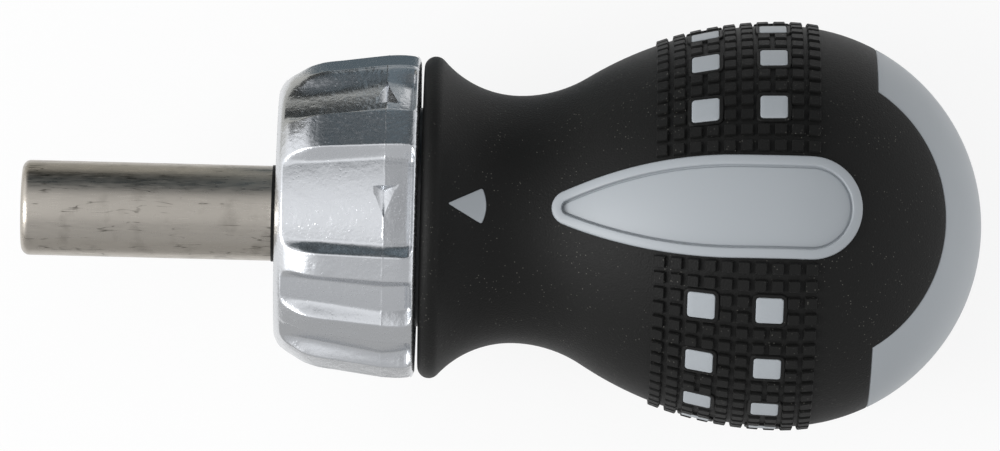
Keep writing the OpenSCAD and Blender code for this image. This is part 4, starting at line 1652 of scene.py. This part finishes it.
@dataclass
class Core:
    """Grey handle core: butt, labels with bare fields, pads, arrows and the body under the rubber."""

    outline: HandleOutline = HandleOutline()
    edge: GripEdge = GripEdge()
    plan: LabelPlan = LabelPlan()
    pads: Pads = Pads()
    arrow: Arrow = Arrow()
    rim_width: float = 1.05
    rim_height: float = 0.4
    rim_foot: float = -0.5
    field_height: float = -0.15
    # Inset and lift along the rim's outer edge, its inner edge and the small groove between rim and field
    rim_outside: Rows = ((0.0, -0.16), (0.02, -0.09), (0.07, -0.03), (0.15, 0.0))
    rim_inside: Rows = ((-0.22, 0.0), (-0.12, -0.03), (-0.06, -0.1), (-0.02, -0.2))
    groove: Rows = ((0.0, -0.06), (0.04, -0.12), (0.14, -0.12), (0.24, 0.0))
    arrow_edge: Rows = ((0.0, -0.1), (0.02, -0.03), (0.08, 0.0))
    foot: float = -2.0
    under: float = 1.82
    butt_wall: float = 0.1
    rim_gap: float = 0.02
    flange_gap: float = 0.2
    edge_round: float = 0.12
    split: float = 84.0
    ball_from: float = 6.0
    socket_radius: float = 8.5
    socket_end: float = 58.1
    sides: int = 300

    def butt(self, finishes: Finishes) -> Piece:
        """Build the round butt, which ends where the rubber does.

        Args:
            finishes: The tool's finishes.

        Returns:
            The butt, closed inside.
        """
        angles = self.edge.angles(self.sides)
        middle, radius = self.outline.belly_at, self.outline.belly_radius
        edge = np.arcsin((self.edge.place(angles) - middle) / radius)
        soft = self.edge_round
        inner = radius - self.under - self.butt_wall
        rows = []
        for t in (0.0, 0.5, 1.0):
            rows.append(self.outline.on_ball(inner + (radius - soft - inner) * t, edge, angles))
        for t in np.linspace(0, QUARTER, 5)[1:]:
            turn = edge + soft / radius * (1 - math.cos(t))
            rows.append(self.outline.on_ball(radius - soft * (1 - math.sin(t)), turn, angles))
        first = edge + soft / radius
        for t in np.linspace(0, 1, 26)[1:-1]:
            rows.append(self.outline.on_ball(radius, first + (QUARTER - first) * t, angles))
        draft = Draft()
        draft.capped(rows, on_frame(middle, 0.0, 0.0), on_frame(middle + radius, 0.0, 0.0))
        return draft.finish("handle_core_butt", finishes.plastic, HARD_EDGE)

    def marks(self, finishes: Finishes) -> Piece:
        """Build the labels and the arrows.

        Args:
            finishes: The tool's finishes.

        Returns:
            Labels with a raised rim round a bare, sunk field, and arrows level with the rubber, as one piece.
        """
        rim, high, low = self.rim_width, self.rim_height, self.field_height
        label = [(0.0, self.foot), (0.0, self.rim_foot)]
        label += [(inset, high + lift) for inset, lift in self.rim_outside]
        label += [(rim + inset, high + lift) for inset, lift in self.rim_inside]
        label += [(rim + inset, low + lift) for inset, lift in self.groove]
        arrow = [(0.0, self.foot), *self.arrow_edge]
        draft = Draft()
        for side in Side:
            raised(draft, self.plan, self.outline, label, side, 12)
            raised(draft, self.arrow, self.outline, arrow, side, 6)
        return draft.finish("handle_core_labels", finishes.plastic, SOFT_EDGE)

    def body(self, finishes: Finishes) -> Piece:
        """Build the body under the rubber, with its front flange and the socket for the tang.

        Args:
            finishes: The tool's finishes.

        Returns:
            A closed turned body.
        """
        lip_s, lip_r = self.outline.lip_middle
        flange, rim = self.outline.flange(self.under), lip_r - self.rim_gap
        places = [(self.outline.front, self.socket_radius), (self.outline.front, rim), (flange, rim)]
        for s, r, ns, nr in self.outline.stations(self.split)[::2]:
            if s > lip_s + self.outline.lip and s - ns * self.under > flange + self.flange_gap:
                places.append((s - ns * self.under, r - nr * self.under))
        ball, middle = self.outline.belly_radius - self.under, self.outline.belly_at
        places += arc(middle, 0.0, ball, QUARTER - math.asin(self.ball_from / ball), 0.0, 14)[:-1]
        places += [(middle + ball, 0.0), (self.socket_end, 0.0), (self.socket_end, self.socket_radius)]
        return Draft().turned(places, 144).finish("handle_core_body", finishes.plastic, HARD_EDGE)

    def build(self, finishes: Finishes) -> list[Piece]:
        """Build and dress the core.

        Args:
            finishes: The tool's finishes.

        Returns:
            Its dressed pieces.
        """
        pieces = [self.body(finishes), self.butt(finishes), self.marks(finishes)]
        row = self.pads.one_row(self.outline, finishes)
        pieces.append(self.pads.repeat(row, finishes.plastic, "handle_core_pads"))
        for piece in pieces:
            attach(piece, "handle")
        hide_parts("handle_core")
        return pieces


# Pieces inside, stage and camera


def dress_inside(finishes: Finishes) -> None:
    """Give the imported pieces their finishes, which show where no piece of this script replaces them.

    Args:
        finishes: The tool's finishes.
    """
    outer = {"turned_steel": finishes.steel, "satin_chrome": finishes.chrome}
    outer |= {"black_rubber": finishes.rubber, "grey_plastic": finishes.plastic}
    for name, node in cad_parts.items():
        for slot in node.material_slots:
            plain = slot.material.name if slot.material else ""
            finish = next((m for key, m in (outer | finishes.inner).items() if plain.startswith(key)), None)
            if finish:
                slot.material = finish
            else:
                log.warning("%s keeps its plain material %s", name, plain)


@dataclass(frozen=True)
class PawlSpring:
    """The coil spring behind the tightening pawl, which the collar presses together when it lifts that pawl;
    this piece is a plain copy that keeps its length.
    """

    node: str = "pawl_spring_tighten"
    joint: str = "pawl_tighten_lift"
    lift: float = 1.4

    def build(self, finishes: Finishes) -> Piece:
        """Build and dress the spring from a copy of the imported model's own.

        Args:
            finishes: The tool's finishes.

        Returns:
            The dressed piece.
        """
        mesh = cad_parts[self.node].data.copy()
        piece = settle(mesh, "pawl_spring_tighten_coil", finishes.inner["spring_steel"], SOFT_EDGE)
        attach(piece, "handle")
        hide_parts(self.node)
        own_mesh(piece)
        return piece


@dataclass
class Stage:
    """Plain pale floor, soft light and the camera of the product shot."""

    floor_at: float = -21.32
    # In metres, so that it fills every view
    floor_half: float = 1.2
    floor_white: float = 0.86
    sky_level: float = 0.58
    scale: float = 9.59
    distance: float = 1000.0
    aim: tuple[float, float] = (49.84, -0.67)
    tilt: float = 5.5
    roll: float = 1.445
    width_px: int = 1000
    lamp_from_middle: tuple[float, float, float] = (-440.0, -110.0, 270.0)
    lamp_side: float = 260.0
    lamp_power: float = 1.6
    # Name, colour, (start, end) along the axis, and (y, z) places: first on the floor and then upright
    cards: tuple[tuple[str, str, tuple[float, float], Rows], ...] = (
        ("card_low_far_of_collar", "#59656c", (21.0, 54.0), ((27.0, -21.2), (60.0, -21.2))),
        ("card_upright_far_of_collar", "#a6abad", (21.0, 54.0), ((60.0, -21.2), (80.0, -21.2), (80.0, 16.0))),
        ("card_high_far_of_collar", "#6f7c84", (21.0, 54.0), ((80.0, 16.0), (80.0, 52.0))),
        ("card_low_far_of_bit", "#c2c1bb", (-60.0, 21.0), ((27.0, -21.2), (80.0, -21.2), (80.0, -6.5))),
        ("card_upright_far_of_bit", "#1d1e1b", (-60.0, 21.0), ((80.0, -6.5), (80.0, 24.0))),
        ("card_near", "#bcbcbc", (-60.0, 160.0), ((-27.0, -21.2), (-90.0, -21.2), (-90.0, 10.0))),
    )

    def floor(self) -> None:
        """Lay the floor, which looks white to the camera, metal and clear parts and keeps a soft shadow."""
        mesh = bpy.data.meshes.new("floor")
        half, z = self.floor_half, self.floor_at * MM
        corners = [(x * half, y * half, z) for x, y in ((-1, -1), (1, -1), (1, 1), (-1, 1))]
        mesh.from_pydata(corners, [], [(0, 1, 2, 3)])
        material = bpy.data.materials.new("floor_paper")
        tree = bare_tree(material)
        path = add_node(tree, "ShaderNodeLightPath")
        rays = ("Glossy", "Transmission", "Camera")
        named: dict[str, object] = {ray: path.outputs[f"Is {ray} Ray"] for ray in rays}
        # The camera, metal and clear parts all see the white; the diffuse share keeps the shadow
        add_table(tree, named, (
            ("mirrored", MATH, "ADD", "Glossy", "Transmission"),
            ("seen", MATH, "ADD", "Camera", "mirrored"),
            ("share", MATH, "MULTIPLY", "seen", self.floor_white),
        ))
        paper = add_node(tree, "ShaderNodeBsdfDiffuse", {"Color": linear("#f2f2f1")})
        white = add_node(tree, "ShaderNodeEmission", {"Color": WHITE, "Strength": 1.0})
        mix = add_node(tree, "ShaderNodeMixShader", {0: named["share"], 1: paper, 2: white})
        add_node(tree, "ShaderNodeOutputMaterial", {"Surface": mix})
        mesh.materials.append(material)
        link("floor", mesh)

    def sky(self) -> None:
        """Light the studio all round: bright screens at both ends and above, a dark wall on the far side."""
        world = bpy.data.worlds.new("studio")
        bpy.context.scene.world = world
        tree = bare_tree(world)
        direction = add_node(tree, "ShaderNodeTexCoord").outputs["Generated"]
        axes = add_node(tree, "ShaderNodeSeparateXYZ", {0: direction})
        # Each row is a smooth change along one axis of the direction: start, end, value before, value after
        bands = {
            "high": ("Z", 0.72, 0.95, 0.0, 1.0),
            "toward the bit": ("X", 0.22, -0.12, -0.17, 0.43),
            "screen at the bit": ("X", -0.4, -0.85, 0.0, 0.65),
            "screen at the butt": ("X", 0.5, 0.85, 0.0, 0.6),
            "far side": ("Y", 0.5, 0.84, 0.0, 1.0),
            "past the left end": ("X", -0.62, -0.42, 0.0, 1.0),
            "before the right end": ("X", 0.62, 0.42, 0.0, 1.0),
        }
        named: dict[str, object] = {"even light": self.sky_level}
        for name, (axis, start, end, low, high) in bands.items():
            span = {"Value": axes.outputs[axis], "From Min": start, "From Max": end}
            span |= {"To Min": low, "To Max": high}
            named[name] = add_node(tree, RANGE, span, interpolation_type="SMOOTHSTEP")
        add_table(tree, named, (
            ("screen above", MATH, "MULTIPLY", "high", "toward the bit"),
            ("two screens", MATH, "ADD", "screen above", "screen at the bit"),
            ("screens", MATH, "ADD", "two screens", "screen at the butt"),
            ("glow", MATH, "ADD", "screens", "even light"),
            ("wall width", MATH, "MULTIPLY", "past the left end", "before the right end"),
            ("dark wall", MATH, "MULTIPLY", "far side", "wall width"),
        ))
        colours = {"Factor": named["dark wall"], 6: (0.99, 1.0, 1.02, 1.0), 7: (0.1, 0.125, 0.14, 1.0)}
        tone = add_node(tree, MIX, colours, data_type="RGBA")
        light = add_node(tree, "ShaderNodeBackground", {"Color": tone.outputs[2], "Strength": named["glow"]})
        # A camera that looks past the floor sees white
        plain = add_node(tree, "ShaderNodeBackground", {"Color": WHITE, "Strength": 1.0})
        seen = add_node(tree, "ShaderNodeLightPath").outputs["Is Camera Ray"]
        both = add_node(tree, "ShaderNodeMixShader", {0: seen, 1: light, 2: plain})
        add_node(tree, "ShaderNodeOutputWorld", {"Surface": both})

    def card(self, name: str, colour: str, span: tuple[float, float], profile: Rows) -> None:
        """Set a studio card beside the tool, outside the picture, that only the metal's reflections show.

        Args:
            name: Name of the card.
            colour: Its sRGB colour.
            span: Where it starts and ends along the axis, in mm.
            profile: (y, z) places in mm that it follows, first on the floor and then upright.
        """
        draft = Draft()
        draft.sheet(np.array([[(x, y, z) for y, z in profile] for x in span]) * MM)
        mesh = bpy.data.meshes.new(name)
        mesh.from_pydata(np.concatenate(draft.points).tolist(), [], draft.faces)
        material = bpy.data.materials.new(name)
        tree = bare_tree(material)
        paint = add_node(tree, "ShaderNodeEmission", {"Color": linear(colour), "Strength": 1.0})
        add_node(tree, "ShaderNodeOutputMaterial", {"Surface": paint})
        mesh.materials.append(material)
        card = link(name, mesh)
        card.visible_camera = card.visible_diffuse = card.visible_shadow = False
        card.visible_transmission = False

    def lamp(self) -> None:
        """Hang the soft key lamp, which looks at the middle of the tool."""
        light = bpy.data.lights.new("key_softbox", "AREA")
        light.shape = "RECTANGLE"
        light.size = light.size_y = self.lamp_side * MM
        light.energy = self.lamp_power
        lamp = link("key_softbox", light)
        middle = Vector((50.0, 0.0, 0.0)) * MM
        lamp.location = middle + Vector(self.lamp_from_middle) * MM
        lamp.rotation_euler = (middle - lamp.location).to_track_quat("-Z", "Y").to_euler()

    def camera(self) -> None:
        """Set up the camera: square to the axis, a little below the label line, the butt hanging lower."""
        tilt, roll = math.radians(self.tilt), math.radians(self.roll)
        back = Vector((0.0, -math.sin(tilt), math.cos(tilt)))
        along = Vector((1.0, 0.0, 0.0))
        across = Vector((0.0, math.cos(tilt), math.sin(tilt)))
        right = along * math.cos(roll) + across * math.sin(roll)
        up = across * math.cos(roll) - along * math.sin(roll)
        data = bpy.data.cameras.new("product_shot")
        data.sensor_fit = "HORIZONTAL"
        data.sensor_width = 36.0
        data.lens = self.scale * self.distance * data.sensor_width / self.width_px
        data.clip_start, data.clip_end = 0.01, 10.0
        stand = Matrix((right, up, back)).transposed().to_4x4()
        stand.translation = (along * self.aim[0] + up * self.aim[1] + back * self.distance) * MM
        camera = link("product_shot", data)
        camera.matrix_world = stand
        bpy.context.scene.camera = camera

    def build(self) -> None:
        """Set the whole stage."""
        self.camera()
        self.floor()
        self.sky()
        for row in self.cards:
            self.card(*row)
        self.lamp()
        bpy.context.scene.view_settings.view_transform = "Standard"


def main() -> None:
    """Build every piece, dress it and set the stage."""
    logging.basicConfig(level=logging.INFO, format="%(name)s: %(message)s", stream=sys.stdout)
    Stage().build()
    finishes = Finishes.build()
    dress_inside(finishes)
    pieces = [BitHolder().build(finishes), SealLipShadeLine().build(finishes), SelectorCollar().build(finishes)]
    pieces += Core().build(finishes)
    pieces += Grip().build(finishes)
    pieces.append(PawlSpring().build(finishes))
    for piece in pieces:
        triangles = sum(len(p.vertices) - 2 for p in piece.data.polygons)
        log.info("%s: %d triangles", piece.name, triangles)


if __name__ == "__main__":
    main()
